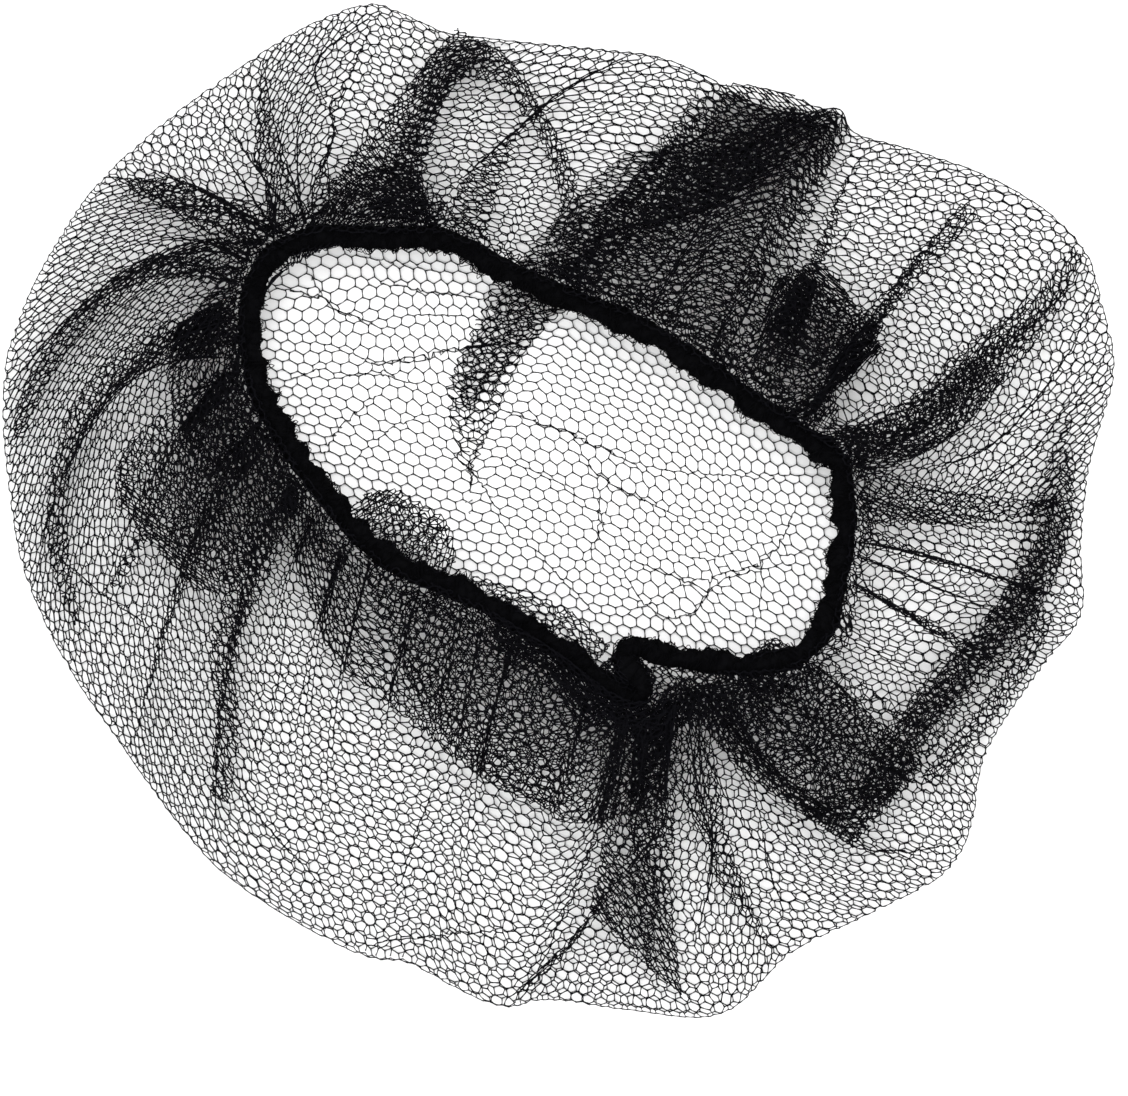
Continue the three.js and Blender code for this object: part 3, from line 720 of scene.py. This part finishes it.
class TopSurface:
    """Height of the top layer over any place of the plan, from a grid of its points."""

    grid = 3.0

    def __init__(self, net):
        section, way = np.meshgrid(np.arange(0, SECTIONS, 0.1), np.linspace(0, 1.05, 60))
        section, way = section.ravel(), way.ravel()
        rim, edge = net.rim.at(section), net.edge.at(section)
        plan = rim + (edge - rim) * way[:, None]
        height = net.top_height(section, np.minimum(way, 1))
        self.low = net.rim.points.min(axis=0) - 6
        size = ((net.rim.points.max(axis=0) + 6 - self.low) / self.grid).astype(int) + 1
        cell = ((plan - self.low) / self.grid).astype(int)
        total, number = np.zeros(size), np.zeros(size)
        np.add.at(total, (cell[:, 0], cell[:, 1]), height)
        np.add.at(number, (cell[:, 0], cell[:, 1]), 1)
        for _ in range(SURFACE_SPREAD):
            spread_total, spread_number = total.copy(), number.copy()
            for axis in (0, 1):
                for step in (-1, 1):
                    spread_total = spread_total + np.roll(total, step, axis)
                    spread_number = spread_number + np.roll(number, step, axis)
            empty = number == 0
            total = np.where(empty, spread_total, total)
            number = np.where(empty, spread_number, number)
        self.height = total / np.maximum(number, 1)

    def at(self, plan):
        place = (plan - self.low) / self.grid - 0.5
        return read_table(self.height, place[:, 0], place[:, 1])


# Waves that disorder a pleat's net, and their shortest and longest lengths in millimetres
CRUMPLE_WAVES = 10
CRUMPLE_SHORTEST = 9
CRUMPLE_LONGEST = 26


def crumple(plan, seed, size):
    """A steady disorder of the plan, as net has that was pushed together by hand."""
    random = np.random.default_rng(seed)
    moved = 0 * plan
    for _ in range(CRUMPLE_WAVES):
        turn = random.uniform(0, 2 * np.pi)
        length = random.uniform(CRUMPLE_SHORTEST, CRUMPLE_LONGEST)
        phase, way = random.uniform(0, 2 * np.pi), random.uniform(0, 2 * np.pi)
        wave = np.sin((plan[:, 0] * np.cos(turn) + plan[:, 1] * np.sin(turn)) * 2 * np.pi / length + phase)
        moved = moved + wave[:, None] * np.array([np.cos(way), np.sin(way)]) * length / 20
    return moved * size


# Height of a pleat's middle over what it lies on, half the gap between its two layers, and the step to
# the next pleat on it, in millimetres
PLEAT_HEIGHT = 0.9
PLEAT_HALF_GAP = 0.6
PLEAT_STEP = 0.5
# Points that a pleat's edges and a crease's line are read at
PLEAT_POINTS = 80
CREASE_POINTS = 40
# Seed of the knots' uneven places in the first pleat; each later pleat takes the next number
PLEAT_KNOTS = 31


def pleat_strands(number, row, half_size, surface, cell_long, cell_high, level_length, unevenness, lift=0.0):
    """Strands of one pleat: ends and middles, and which are level. lift raises its first edge."""
    squeeze, layers, points = row
    points = np.array(points)
    left = smooth_line(points[:, 0:2] * half_size, PLEAT_POINTS)
    right = smooth_line(points[:, 2:4] * half_size, PLEAT_POINTS)
    middle = (left + right) / 2
    run = np.concatenate([[0.0], np.cumsum(np.linalg.norm(np.diff(middle, axis=0), axis=1))])
    width = np.linalg.norm(right - left, axis=1)
    reach = max(run[-1], 2 * width.max() / squeeze) + 8
    lines, kinds = [], []
    for layer in range(layers):
        starts, ends, level = hex_strands(reach, cell_long, cell_high, level_length)
        starts = starts + knot_shift(starts, unevenness, PLEAT_KNOTS + number)
        ends = ends + knot_shift(ends, unevenness, PLEAT_KNOTS + number)
        turn = 0.5 * np.sin(number * 2.1 + layer * 1.7)
        spin = np.array([[np.cos(turn), -np.sin(turn)], [np.sin(turn), np.cos(turn)]])
        flat = [point @ spin + (layer * 1.3, layer * 0.9) for point in (starts, (starts + ends) / 2, ends)]
        flat = [point + crumple(point, number, 0.5) for point in flat]
        along = flat[1][:, 1]
        across = flat[1][:, 0] * squeeze
        wide = np.interp(along, run, width)
        keep = (along > 0) & (along < run[-1]) & (across > 0) & (across < 2 * wide)
        spots = []
        for point in flat:
            along = np.clip(point[keep, 1], 0, run[-1])
            wide = np.maximum(np.interp(along, run, width), 0.5)
            across = np.mod(np.abs(point[keep, 0] * squeeze), 4 * wide)
            across = np.where(across > 2 * wide, 4 * wide - across, across)
            folded = across > wide
            share = np.where(folded, 2 * wide - across, across) / wide
            near = np.stack([np.interp(along, run, left[:, k]) for k in (0, 1)], axis=1)
            far = np.stack([np.interp(along, run, right[:, k]) for k in (0, 1)], axis=1)
            plan = near + (far - near) * share[:, None]
            side = np.clip((across / wide - 1) * 4, -1, 1)
            under = surface.at(plan) if surface else np.full(len(plan), FLOOR_PLEAT_HEIGHT)
            height = under + PLEAT_HEIGHT - PLEAT_HALF_GAP * side + PLEAT_STEP * layer + lift * (1 - share) ** 2
            spots.append(np.column_stack([plan, height]))
        lines.append(np.stack(spots, axis=1))
        kinds.append(level[keep])
    return np.concatenate(lines), np.concatenate(kinds)


# How far a gather reaches in over the elastic, in millimetres
GATHER_OVERLAP = 2.6


def gather_row(net, row, half_size):
    """The same kind of row as a pleat's, for a gather along the elastic."""
    squeeze, layers, first, last, depth_first, depth_last = row
    section = np.linspace(first, last, 12)
    edge = net.edge.at(section)
    out = net.rim.at(section) - edge
    out = out / np.linalg.norm(out, axis=1)[:, None]
    depth = np.linspace(depth_first, depth_last, 12) * (1 + 0.25 * np.sin(section * 2.7))
    points = np.column_stack([(edge - GATHER_OVERLAP * out) / half_size, (edge + out * depth[:, None]) / half_size])
    return squeeze, layers, points


def pinched(places, top, half_size):
    """Places in millimetres, with the net pushed together at the creases of its layer."""
    flat = places[..., :2].reshape(-1, 2)
    on_top = np.repeat(top[:, None], places.shape[1], axis=1).ravel()
    for layer, push, reach, points in CREASES:
        line = smooth_line(np.array(points) * half_size, CREASE_POINTS)
        chosen = on_top == (layer == 1)
        low, high = line.min(axis=0) - 2.5 * reach, line.max(axis=0) + 2.5 * reach
        chosen = chosen & (flat > low).all(axis=1) & (flat < high).all(axis=1)
        spots = flat[chosen]
        away = spots[:, None] - line[None]
        distance = np.linalg.norm(away, axis=2)
        nearest = distance.argmin(axis=1)
        rows = np.arange(len(spots))
        off, gap = away[rows, nearest], distance[rows, nearest]
        fade = np.sin(np.pi * np.clip(nearest / (CREASE_POINTS - 1), 0.02, 0.98)) ** 0.5
        much = push * fade * np.exp(-((gap / reach) ** 2)) * gap / (gap + 0.5)
        flat[chosen] = spots - off / np.maximum(gap, 1e-6)[:, None] * much[:, None]
    moved = places.copy()
    moved[..., :2] = flat.reshape(places.shape[0], places.shape[1], 2)
    return moved


# Where the elastic is folded back on itself at its join, between these two sections. along and across
# are shares of the fold's length and depth, and swell is the elastic's width there as a share.
JOIN_AFTER = 43
JOIN_BEFORE = 48
JOIN_LENGTH = 9.0
JOIN_DEPTH = 13.4
JOIN_ROWS = [
    (0.5, -0.02, 0.85),
    (0.9, 0.14, 0.95),
    (0.68, 0.36, 1.05),
    (0.2, 0.5, 1.1),
    (-0.18, 0.73, 1.05),
    (0.16, 0.97, 0.95),
    (0.8, 1.03, 0.95),
]

# Lumps of the elastic's edge: length and depth in millimetres, drift of the length, and turn
SCALLOPS = [
    (17.3, 0.6, 31.0, 0.4),
    (9.7, 0.6, 21.0, 0.0),
    (5.9, 0.32, 13.0, 1.3),
    (3.1, 0.16, 8.3, 2.9),
]


class BandPath:
    """The middle line of the elastic, in millimetres, read at shares of the way round."""

    def __init__(self, net):
        section = np.arange(SECTIONS)
        edge = net.edge.at(section)
        height = net.heights.at(section)[:, 1] * NET_HEIGHT
        along = np.roll(edge, -1, axis=0) - np.roll(edge, 1, axis=0)
        along = along / np.linalg.norm(along, axis=1)[:, None]
        inward = np.stack([-along[:, 1], along[:, 0]], axis=1)
        plain = np.column_stack([edge + inward * (BAND_WIDTH / 2 + BAND_GAP), height, np.ones(SECTIONS)])
        start = plain[JOIN_AFTER]
        join = [(start[0] + a * JOIN_LENGTH, start[1] + b * JOIN_DEPTH, start[2], swell) for a, b, swell in JOIN_ROWS]
        rows = np.concatenate([plain[: JOIN_AFTER + 1], join, plain[JOIN_BEFORE:]])
        fine = np.arange(len(rows) * 40) / 40
        points = closed_run(rows, fine)
        step = np.linalg.norm(np.roll(points, -1, axis=0)[:, :3] - points[:, :3], axis=1)
        self.length = step.sum()
        self.share = np.concatenate([[0.0], np.cumsum(step)]) / self.length
        self.points = np.concatenate([points, points[:1]])

    def read(self, share):
        """Place and swell at shares of the way round."""
        columns = [np.interp(np.mod(share, 1.0), self.share, self.points[:, k]) for k in range(4)]
        return np.stack(columns, axis=-1)

    def at(self, share):
        """Place, way along, way across and swell at shares of the way round."""
        share = np.mod(share, 1.0)
        here, ahead, behind = (self.read(share + step) for step in (0, 0.002, -0.002))
        along = ahead[..., :2] - behind[..., :2]
        along = along / np.linalg.norm(along, axis=-1)[..., None]
        across = np.stack([-along[..., 1], along[..., 0]], axis=-1)
        return here[..., :3], along, across, here[..., 3]


def band_surface(path, share, angle, grow=1.0):
    """Points of the elastic's lumpy skin at shares of the way round and angles about its middle line."""
    middle, _, across, swell = path.at(share)
    run = share * path.length
    pleat = 0.12 * np.sin(2 * np.pi * run / 2.3 + 2.9 * np.sin(run / 3.1) + 2.2 * np.sin(angle * 2))
    pleat = pleat + 0.1 * np.sin(2 * np.pi * run / 1.37 + 3.1 * np.sin(run / 5.2) + 3 * angle)
    inner = np.clip(np.cos(angle), 0, 1)
    scallop = 0.0
    for length, depth, drift, turn in SCALLOPS:
        wave = np.sin(2 * np.pi * run / length + 2.4 * np.sin(run / drift) + turn)
        scallop = scallop + depth * wave * (0.6 + 0.4 * np.sin(run / (drift * 1.7) + turn))
    scallop = scallop * (inner + 0.25)
    wide = (BAND_WIDTH / 2 * swell - SKIN_INSET_WIDE + pleat + scallop) * grow
    high = (BAND_HEIGHT / 2 - SKIN_INSET_HIGH + pleat) * grow
    wobble = 0.35 * np.sin(run / 11.0) + 0.25 * np.sin(run / 4.3 + 1)
    points = middle.copy()
    points[..., 0:2] += across * (np.cos(angle) * wide)[..., None]
    points[..., 2] += np.sin(angle) * high + wobble * 0.5
    return points


def deselect_all():
    if bpy.context.object is not None and bpy.context.object.mode != "OBJECT":
        bpy.ops.object.mode_set(mode="OBJECT")
    bpy.ops.object.select_all(action="DESELECT")


def rgba(colour):
    return (colour[0], colour[1], colour[2], 1.0)


def thread_material(name, colour, roughness, lighter, twist_scale):
    """Twisted nylon thread: uneven dye, uneven gloss and fine plies."""
    material = bpy.data.materials.new(name)
    material.use_nodes = True
    nodes, links = material.node_tree.nodes, material.node_tree.links
    shader = nodes["Principled BSDF"]
    shader.inputs["Specular IOR Level"].default_value = 0.03
    place = nodes.new("ShaderNodeTexCoord")
    dye = nodes.new("ShaderNodeTexNoise")
    dye.inputs["Scale"].default_value = 900.0
    dye.inputs["Detail"].default_value = 3.0
    ramp = nodes.new("ShaderNodeValToRGB")
    ramp.color_ramp.elements[0].position = 0.35
    ramp.color_ramp.elements[0].color = rgba(colour)
    ramp.color_ramp.elements[1].position = 0.75
    ramp.color_ramp.elements[1].color = rgba([part * lighter for part in colour])
    links.new(place.outputs["Object"], dye.inputs["Vector"])
    links.new(dye.outputs["Fac"], ramp.inputs["Fac"])
    links.new(ramp.outputs["Color"], shader.inputs["Base Color"])
    wear = nodes.new("ShaderNodeMapRange")
    wear.inputs["To Min"].default_value = roughness - 0.08
    wear.inputs["To Max"].default_value = roughness + 0.1
    links.new(dye.outputs["Fac"], wear.inputs["Value"])
    links.new(wear.outputs["Result"], shader.inputs["Roughness"])
    plies = nodes.new("ShaderNodeTexWave")
    plies.bands_direction = "DIAGONAL"
    plies.inputs["Scale"].default_value = twist_scale
    plies.inputs["Distortion"].default_value = 4.0
    plies.inputs["Detail"].default_value = 2.0
    bump = nodes.new("ShaderNodeBump")
    bump.inputs["Strength"].default_value = 0.5
    bump.inputs["Distance"].default_value = 0.00005
    links.new(place.outputs["Object"], plies.inputs["Vector"])
    links.new(plies.outputs["Fac"], bump.inputs["Height"])
    links.new(bump.outputs["Normal"], shader.inputs["Normal"])
    return material


def thread_nodes():
    """A node group that turns a mesh of edges into threads of three sides, as thick as its radius values."""
    group = bpy.data.node_groups.new("threads_from_edges", "GeometryNodeTree")
    group.interface.new_socket("Geometry", in_out="INPUT", socket_type="NodeSocketGeometry")
    group.interface.new_socket("Geometry", in_out="OUTPUT", socket_type="NodeSocketGeometry")
    nodes, links = group.nodes, group.links
    start, end = nodes.new("NodeGroupInput"), nodes.new("NodeGroupOutput")
    curve = nodes.new("GeometryNodeMeshToCurve")
    radius = nodes.new("GeometryNodeInputNamedAttribute")
    radius.data_type = "FLOAT"
    radius.inputs["Name"].default_value = "thread_radius"
    profile = nodes.new("GeometryNodeCurvePrimitiveCircle")
    profile.inputs["Resolution"].default_value = 3
    profile.inputs["Radius"].default_value = 1.0
    tube = nodes.new("GeometryNodeCurveToMesh")
    links.new(start.outputs[0], curve.inputs["Mesh"])
    links.new(curve.outputs["Curve"], tube.inputs["Curve"])
    links.new(radius.outputs[0], tube.inputs["Scale"])
    links.new(profile.outputs["Curve"], tube.inputs["Profile Curve"])
    links.new(tube.outputs["Mesh"], end.inputs[0])
    return group


def make_threads(name, lines, radii, material):
    """One mesh of many threads. lines is (thread, point, 3) in millimetres and radii is (thread, point)."""
    threads, points = radii.shape
    mesh = bpy.data.meshes.new(name)
    corner = np.arange(threads * points).reshape(threads, points)
    edges = np.stack([corner[:, :-1], corner[:, 1:]], axis=-1).reshape(-1, 2)
    mesh.vertices.add(threads * points)
    mesh.vertices.foreach_set("co", (lines * MM).astype(np.float32).ravel())
    mesh.edges.add(len(edges))
    mesh.edges.foreach_set("vertices", edges.astype(np.int32).ravel())
    radius = mesh.attributes.new("thread_radius", "FLOAT", "POINT")
    radius.data.foreach_set("value", (radii * MM).astype(np.float32).ravel())
    mesh.update()
    piece = bpy.data.objects.new(name, mesh)
    bpy.context.collection.objects.link(piece)
    deselect_all()
    piece.select_set(True)
    bpy.context.view_layer.objects.active = piece
    modifier = piece.modifiers.new("threads", "NODES")
    modifier.node_group = bpy.data.node_groups.get("threads_from_edges") or thread_nodes()
    bpy.ops.object.modifier_apply(modifier=modifier.name)
    bpy.ops.object.shade_smooth()
    piece.data.materials.clear()
    piece.data.materials.append(material)
    return piece


def folded_net():
    """The folded layout, from the CAD net's own size and the settings."""
    size = [(NET_HIGH[k] - NET_LOW[k]) / MM for k in (0, 1)]
    net = bpy.context.scene.hairnet_net
    return FoldedNet(size, (net.mouth_length / MM, net.mouth_width / MM), (net.mouth_x / MM, net.mouth_y / MM))


class HairnetNetSettings(bpy.types.PropertyGroup):
    """The net: its mouth, its cells and its thread."""

    mouth_length: bpy.props.FloatProperty(
        name="Mouth length", description="Length of the net's gathered edge",
        default=0.181, min=0.02, unit="LENGTH"
    )
    mouth_width: bpy.props.FloatProperty(
        name="Mouth width", description="Width of the net's gathered edge",
        default=0.092, min=0.02, unit="LENGTH"
    )
    mouth_x: bpy.props.FloatProperty(
        name="Mouth X", description="Middle of the mouth along X", default=-0.005, unit="LENGTH"
    )
    mouth_y: bpy.props.FloatProperty(
        name="Mouth Y", description="Middle of the mouth along Y", default=0.007, unit="LENGTH"
    )
    cell_length: bpy.props.FloatProperty(
        name="Cell spacing", description="Spacing of the columns of cells",
        default=0.0034, min=0.001, unit="LENGTH"
    )
    cell_height: bpy.props.FloatProperty(
        name="Row spacing", description="Spacing of the rows of cells",
        default=0.00278, min=0.001, unit="LENGTH"
    )
    level_length: bpy.props.FloatProperty(
        name="Level strand", description="Length of a cell's level sides",
        default=0.0023, min=0.0002, unit="LENGTH"
    )
    level_radius: bpy.props.FloatProperty(
        name="Level radius", description="Radius of the level, doubled strands",
        default=0.0002, min=0.00002, unit="LENGTH"
    )
    slant_radius: bpy.props.FloatProperty(
        name="Slant radius", description="Radius of the slanting strands",
        default=0.00015, min=0.00002, unit="LENGTH"
    )
    knot_radius: bpy.props.FloatProperty(
        name="Knot radius", description="Radius where strands meet",
        default=0.00027, min=0.00002, unit="LENGTH"
    )
    lower_share: bpy.props.FloatProperty(
        name="Lower layer", description="Thickness of the lower layer's thread, which lies stretched",
        default=0.84, min=0.3, max=1.0, subtype="FACTOR"
    )
    unevenness: bpy.props.FloatProperty(
        name="Unevenness", description="How far knots lie from their even places",
        default=0.00016, min=0.0, unit="LENGTH"
    )
    gathers: bpy.props.FloatProperty(
        name="Gathers", description="Depth of the fine gathers at the elastic",
        default=0.55, min=0.0, max=2.0, subtype="FACTOR"
    )
    colour: bpy.props.FloatVectorProperty(
        name="Colour", description="Colour of the net's thread",
        default=(0.0018, 0.0018, 0.0026), subtype="COLOR", size=3, min=0.0, max=1.0
    )


class HairnetBandSettings(bpy.types.PropertyGroup):
    """The elastic: how finely it is made, the threads caught on it and its colour."""

    steps: bpy.props.IntProperty(
        name="Steps", description="Steps along the elastic; a torus has no more than 256",
        default=256, min=100, max=256
    )
    sides: bpy.props.IntProperty(
        name="Sides", description="Sides of the elastic's section", default=20, min=8, max=48
    )
    loops: bpy.props.IntProperty(
        name="Loops", description="Number of caught thread loops", default=4600, min=0, max=6000
    )
    loop_radius: bpy.props.FloatProperty(
        name="Loop radius", description="Radius of a caught thread",
        default=0.00013, min=0.00002, unit="LENGTH"
    )
    colour: bpy.props.FloatVectorProperty(
        name="Colour", description="Colour of the elastic",
        default=(0.0008, 0.0008, 0.0011), subtype="COLOR", size=3, min=0.0, max=1.0
    )


class HairnetStageSettings(bpy.types.PropertyGroup):
    """The floor, the lights and the camera."""

    floor_size: bpy.props.FloatProperty(
        name="Floor", description="Side of the floor", default=6.0, min=1.0, unit="LENGTH"
    )
    floor_colour: bpy.props.FloatVectorProperty(
        name="Floor colour", description="Colour of the floor",
        default=(0.9, 0.9, 0.9), subtype="COLOR", size=3, min=0.0, max=1.0
    )
    sky: bpy.props.FloatProperty(name="Sky", description="Strength of the even light", default=1.7, min=0.0, max=10.0)
    key: bpy.props.FloatProperty(
        name="Key light", description="Power of the soft main light", default=9.0, min=0.0, unit="POWER"
    )
    distance: bpy.props.FloatProperty(
        name="Camera height", description="Height of the camera over the net",
        default=1.3, min=0.3, unit="LENGTH"
    )
    view_width: bpy.props.FloatProperty(
        name="View width", description="Width of the view at the floor",
        default=0.297, min=0.05, unit="LENGTH"
    )
    aim_x: bpy.props.FloatProperty(
        name="Aim X", description="Middle of the view along X", default=0.01265, unit="LENGTH"
    )
    aim_y: bpy.props.FloatProperty(
        name="Aim Y", description="Middle of the view along Y", default=-0.0102, unit="LENGTH"
    )
    turn: bpy.props.FloatProperty(
        name="Turn", description="Turn of the view about Z", default=math.radians(30.0), subtype="ANGLE"
    )


# The net is made in this many parts, side by side round the net's middle, so that no mesh is too heavy
NET_PARTS = 7
# How far the flat net of hexagons is laid out from its middle before folding, in millimetres
FLAT_REACH = 300.0
# Seed of the knots' uneven places in the folded net
NET_KNOTS = 5

# How far the gathers rise onto the elastic, in millimetres
GATHER_LIFT = 2.2


class HAIRNET_OT_net(bpy.types.Operator):
    """Make the net, thread by thread, folded over at its rim and gathered, with the pleats laid on it"""

    bl_idname = "hairnet.make_net"
    bl_label = "Make the net"

    def execute(self, context):
        settings = context.scene.hairnet_net
        net = folded_net()
        starts, ends, level = hex_strands(
            FLAT_REACH, settings.cell_length / MM, settings.cell_height / MM, settings.level_length / MM
        )
        shift = settings.unevenness / MM
        starts = starts + knot_shift(starts, shift, NET_KNOTS)
        ends = ends + knot_shift(ends, shift, NET_KNOTS)
        flat = [point + slow_bend(point) for point in (starts, (starts + ends) / 2, ends)]
        near, again, twice = net.copies(flat[1])
        wrinkles = Wrinkles(seed=7, count=14, shortest=5, longest=16, strength=settings.gathers)
        lines, kinds, on_top = [], [], []
        for angle, keep in ((near, np.ones(len(near), bool)), (again, twice)):
            placed = [net.place(point[keep], angle[keep], wrinkles) for point in flat]
            there = placed[0][2] & placed[1][2] & placed[2][2]
            lines.append(np.stack([spot[0] for spot in placed], axis=1)[there])
            kinds.append(level[keep][there])
            on_top.append(placed[1][1][there] > 0)
        half_size = np.array([NET_HIGH[k] - NET_LOW[k] for k in (0, 1)]) / 2 / MM
        lines = [pinched(np.concatenate(lines), np.concatenate(on_top), half_size)]
        surface = TopSurface(net)
        cell = (settings.cell_length / MM, settings.cell_height / MM, settings.level_length / MM, shift)
        rows = [(row, surface, 0.0) for row in PLEATS]
        rows += [(gather_row(net, row, half_size), surface, GATHER_LIFT) for row in GATHERS]
        rows += [(row, None, 0.0) for row in FLOOR_PLEATS]
        for number, (row, under, lift) in enumerate(rows):
            spots, level = pleat_strands(number, row, half_size, under, *cell, lift=lift)
            lines.append(spots)
            kinds.append(level)
        on_top.append(np.ones(sum(len(spots) for spots in lines[1:]), bool))
        lines, kinds, on_top = np.concatenate(lines), np.concatenate(kinds), np.concatenate(on_top)
        turns = np.arctan2(lines[:, 1, 1], lines[:, 1, 0])
        middle = np.where(kinds, settings.level_radius, settings.slant_radius)
        knot = np.full(len(kinds), settings.knot_radius)
        radii = np.stack([knot, middle, knot], axis=1) / MM
        radii = radii * np.where(on_top, 1.0, settings.lower_share)[:, None]
        material = thread_material("net_thread", settings.colour, 0.55, 2.2, 3000.0)
        order = np.argsort(turns)
        for part, chosen in enumerate(np.array_split(order, NET_PARTS)):
            piece = make_threads("net_part_%d" % (part + 1), lines[chosen], radii[chosen], material)
            declare_net_part(piece)
        return {"FINISHED"}


def declare_net_part(piece):
    """Hangs a part of the net under the root body and hides the CAD net."""
    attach(piece, "root")
    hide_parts("net_cap")


class HAIRNET_OT_elastic(bpy.types.Operator):
    """Make the elastic, covered by the gathered edge of the net, with its join folded back on itself"""

    bl_idname = "hairnet.make_elastic"
    bl_label = "Make the elastic"

    def execute(self, context):
        settings = context.scene.hairnet_band
        path = BandPath(folded_net())
        steps, sides = settings.steps, settings.sides
        deselect_all()
        bpy.ops.mesh.primitive_torus_add(
            major_segments=steps, minor_segments=sides, major_radius=path.length * MM / (2 * math.pi),
            minor_radius=BAND_HEIGHT / 2 * MM, location=(0, 0, 0),
        )
        band = context.object
        band.name = "elastic_core"
        band.data.name = "elastic_core"
        place = np.empty(len(band.data.vertices) * 3, np.float32)
        band.data.vertices.foreach_get("co", place)
        place = place.reshape(-1, 3)
        share = np.mod(np.arctan2(place[:, 1], place[:, 0]) / (2 * np.pi), 1.0)
        outward = np.hypot(place[:, 0], place[:, 1]) - path.length * MM / (2 * math.pi)
        angle = np.arctan2(place[:, 2], -outward)
        points = band_surface(path, share, angle)
        band.data.vertices.foreach_set("co", (points * MM).astype(np.float32).ravel())
        band.data.update()
        bpy.ops.object.mode_set(mode="EDIT")
        bpy.ops.mesh.select_all(action="SELECT")
        bpy.ops.mesh.normals_make_consistent(inside=False)
        bpy.ops.object.mode_set(mode="OBJECT")
        bpy.ops.object.shade_smooth()
        material = thread_material("elastic_knit", settings.colour, 0.8, 2.0, 1500.0)
        band.data.materials.append(material)
        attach(band, "root")
        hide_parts("elastic_band")
        random = np.random.default_rng(11)
        count = settings.loops
        start = random.uniform(0, 1, count)
        lean = random.normal(0, 2.2, count) / path.length
        low = random.uniform(-1.2, 2.6, count)
        sweep = random.uniform(0.5, 1.6, count)
        grow = random.uniform(1.0, 1.16, count) + (random.uniform(0, 1, count) > 0.7) * random.uniform(0, 0.5, count)
        rows = np.linspace(0, 1, 6)
        shares = start[:, None] + lean[:, None] * rows
        angles = low[:, None] + sweep[:, None] * rows
        bow = 1 + (grow[:, None] - 1) * np.sin(np.pi * rows) - 0.02
        loops = band_surface(path, shares, angles, bow)
        radii = np.full(shares.shape, settings.loop_radius / MM)
        caught = make_threads("elastic_loops", loops, radii, material)
        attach(caught, "root")
        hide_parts("elastic_band")
        return {"FINISHED"}


# The camera's sensor in its own millimetres, and the main light's place and size in metres
SENSOR_WIDTH = 36.0
KEY_PLACE = (-0.7, 0.9, 1.4)
KEY_SIZE = 0.9


class HAIRNET_OT_stage(bpy.types.Operator):
    """Make the pale floor, the soft light and the camera that looks straight down"""

    bl_idname = "hairnet.make_stage"
    bl_label = "Make the stage"

    def execute(self, context):
        settings = context.scene.hairnet_stage
        scene = context.scene
        deselect_all()
        bpy.ops.mesh.primitive_plane_add(size=settings.floor_size, location=(0, 0, CAD_BOX[0][2]))
        floor = context.object
        floor.name = "floor"
        paint = bpy.data.materials.new("floor_paint")
        paint.use_nodes = True
        shader = paint.node_tree.nodes["Principled BSDF"]
        shader.inputs["Base Color"].default_value = rgba(settings.floor_colour)
        shader.inputs["Roughness"].default_value = 0.9
        floor.data.materials.append(paint)
        world = scene.world or bpy.data.worlds.new("studio")
        scene.world = world
        world.use_nodes = True
        back = world.node_tree.nodes["Background"]
        back.inputs["Color"].default_value = (1.0, 1.0, 1.0, 1.0)
        back.inputs["Strength"].default_value = settings.sky
        deselect_all()
        bpy.ops.object.light_add(type="AREA", location=KEY_PLACE)
        key = context.object
        key.name = "key_light"
        key.data.shape = "DISK"
        key.data.size = KEY_SIZE
        key.data.energy = settings.key
        key.rotation_euler = (Vector((0, 0, 0)) - key.location).to_track_quat("-Z", "Y").to_euler()
        camera_data = bpy.data.cameras.new("camera")
        camera = bpy.data.objects.new("camera", camera_data)
        context.collection.objects.link(camera)
        camera_data.sensor_fit = "HORIZONTAL"
        camera_data.sensor_width = SENSOR_WIDTH
        camera_data.lens = SENSOR_WIDTH * settings.distance / settings.view_width
        camera_data.clip_start = 0.05
        spot = Vector((settings.aim_x, settings.aim_y, settings.distance))
        camera.matrix_world = Matrix.Translation(spot) @ Matrix.Rotation(settings.turn, 4, "Z")
        scene.camera = camera
        scene.view_settings.view_transform = "Standard"
        return {"FINISHED"}


class HAIRNET_PT_panel(bpy.types.Panel):
    """The hairnet's settings and its operators, in the sidebar of the 3D view"""

    bl_label = "Hairnet"
    bl_space_type = "VIEW_3D"
    bl_region_type = "UI"
    bl_category = "Hairnet"

    def draw(self, context):
        scene = context.scene
        for settings, make in (
            (scene.hairnet_net, HAIRNET_OT_net),
            (scene.hairnet_band, HAIRNET_OT_elastic),
            (scene.hairnet_stage, HAIRNET_OT_stage),
        ):
            box = self.layout.box()
            for name in settings.__annotations__:
                box.prop(settings, name)
            box.operator(make.bl_idname)


CLASSES = (
    HairnetNetSettings,
    HairnetBandSettings,
    HairnetStageSettings,
    HAIRNET_OT_net,
    HAIRNET_OT_elastic,
    HAIRNET_OT_stage,
    HAIRNET_PT_panel,
)


def register():
    for each in CLASSES:
        bpy.utils.register_class(each)
    bpy.types.Scene.hairnet_net = bpy.props.PointerProperty(type=HairnetNetSettings)
    bpy.types.Scene.hairnet_band = bpy.props.PointerProperty(type=HairnetBandSettings)
    bpy.types.Scene.hairnet_stage = bpy.props.PointerProperty(type=HairnetStageSettings)


def unregister():
    del bpy.types.Scene.hairnet_net
    del bpy.types.Scene.hairnet_band
    del bpy.types.Scene.hairnet_stage
    for each in reversed(CLASSES):
        bpy.utils.unregister_class(each)


def main():
    register()
    bpy.ops.hairnet.make_stage()
    bpy.ops.hairnet.make_elastic()
    bpy.ops.hairnet.make_net()


if __name__ == "__main__":
    main()
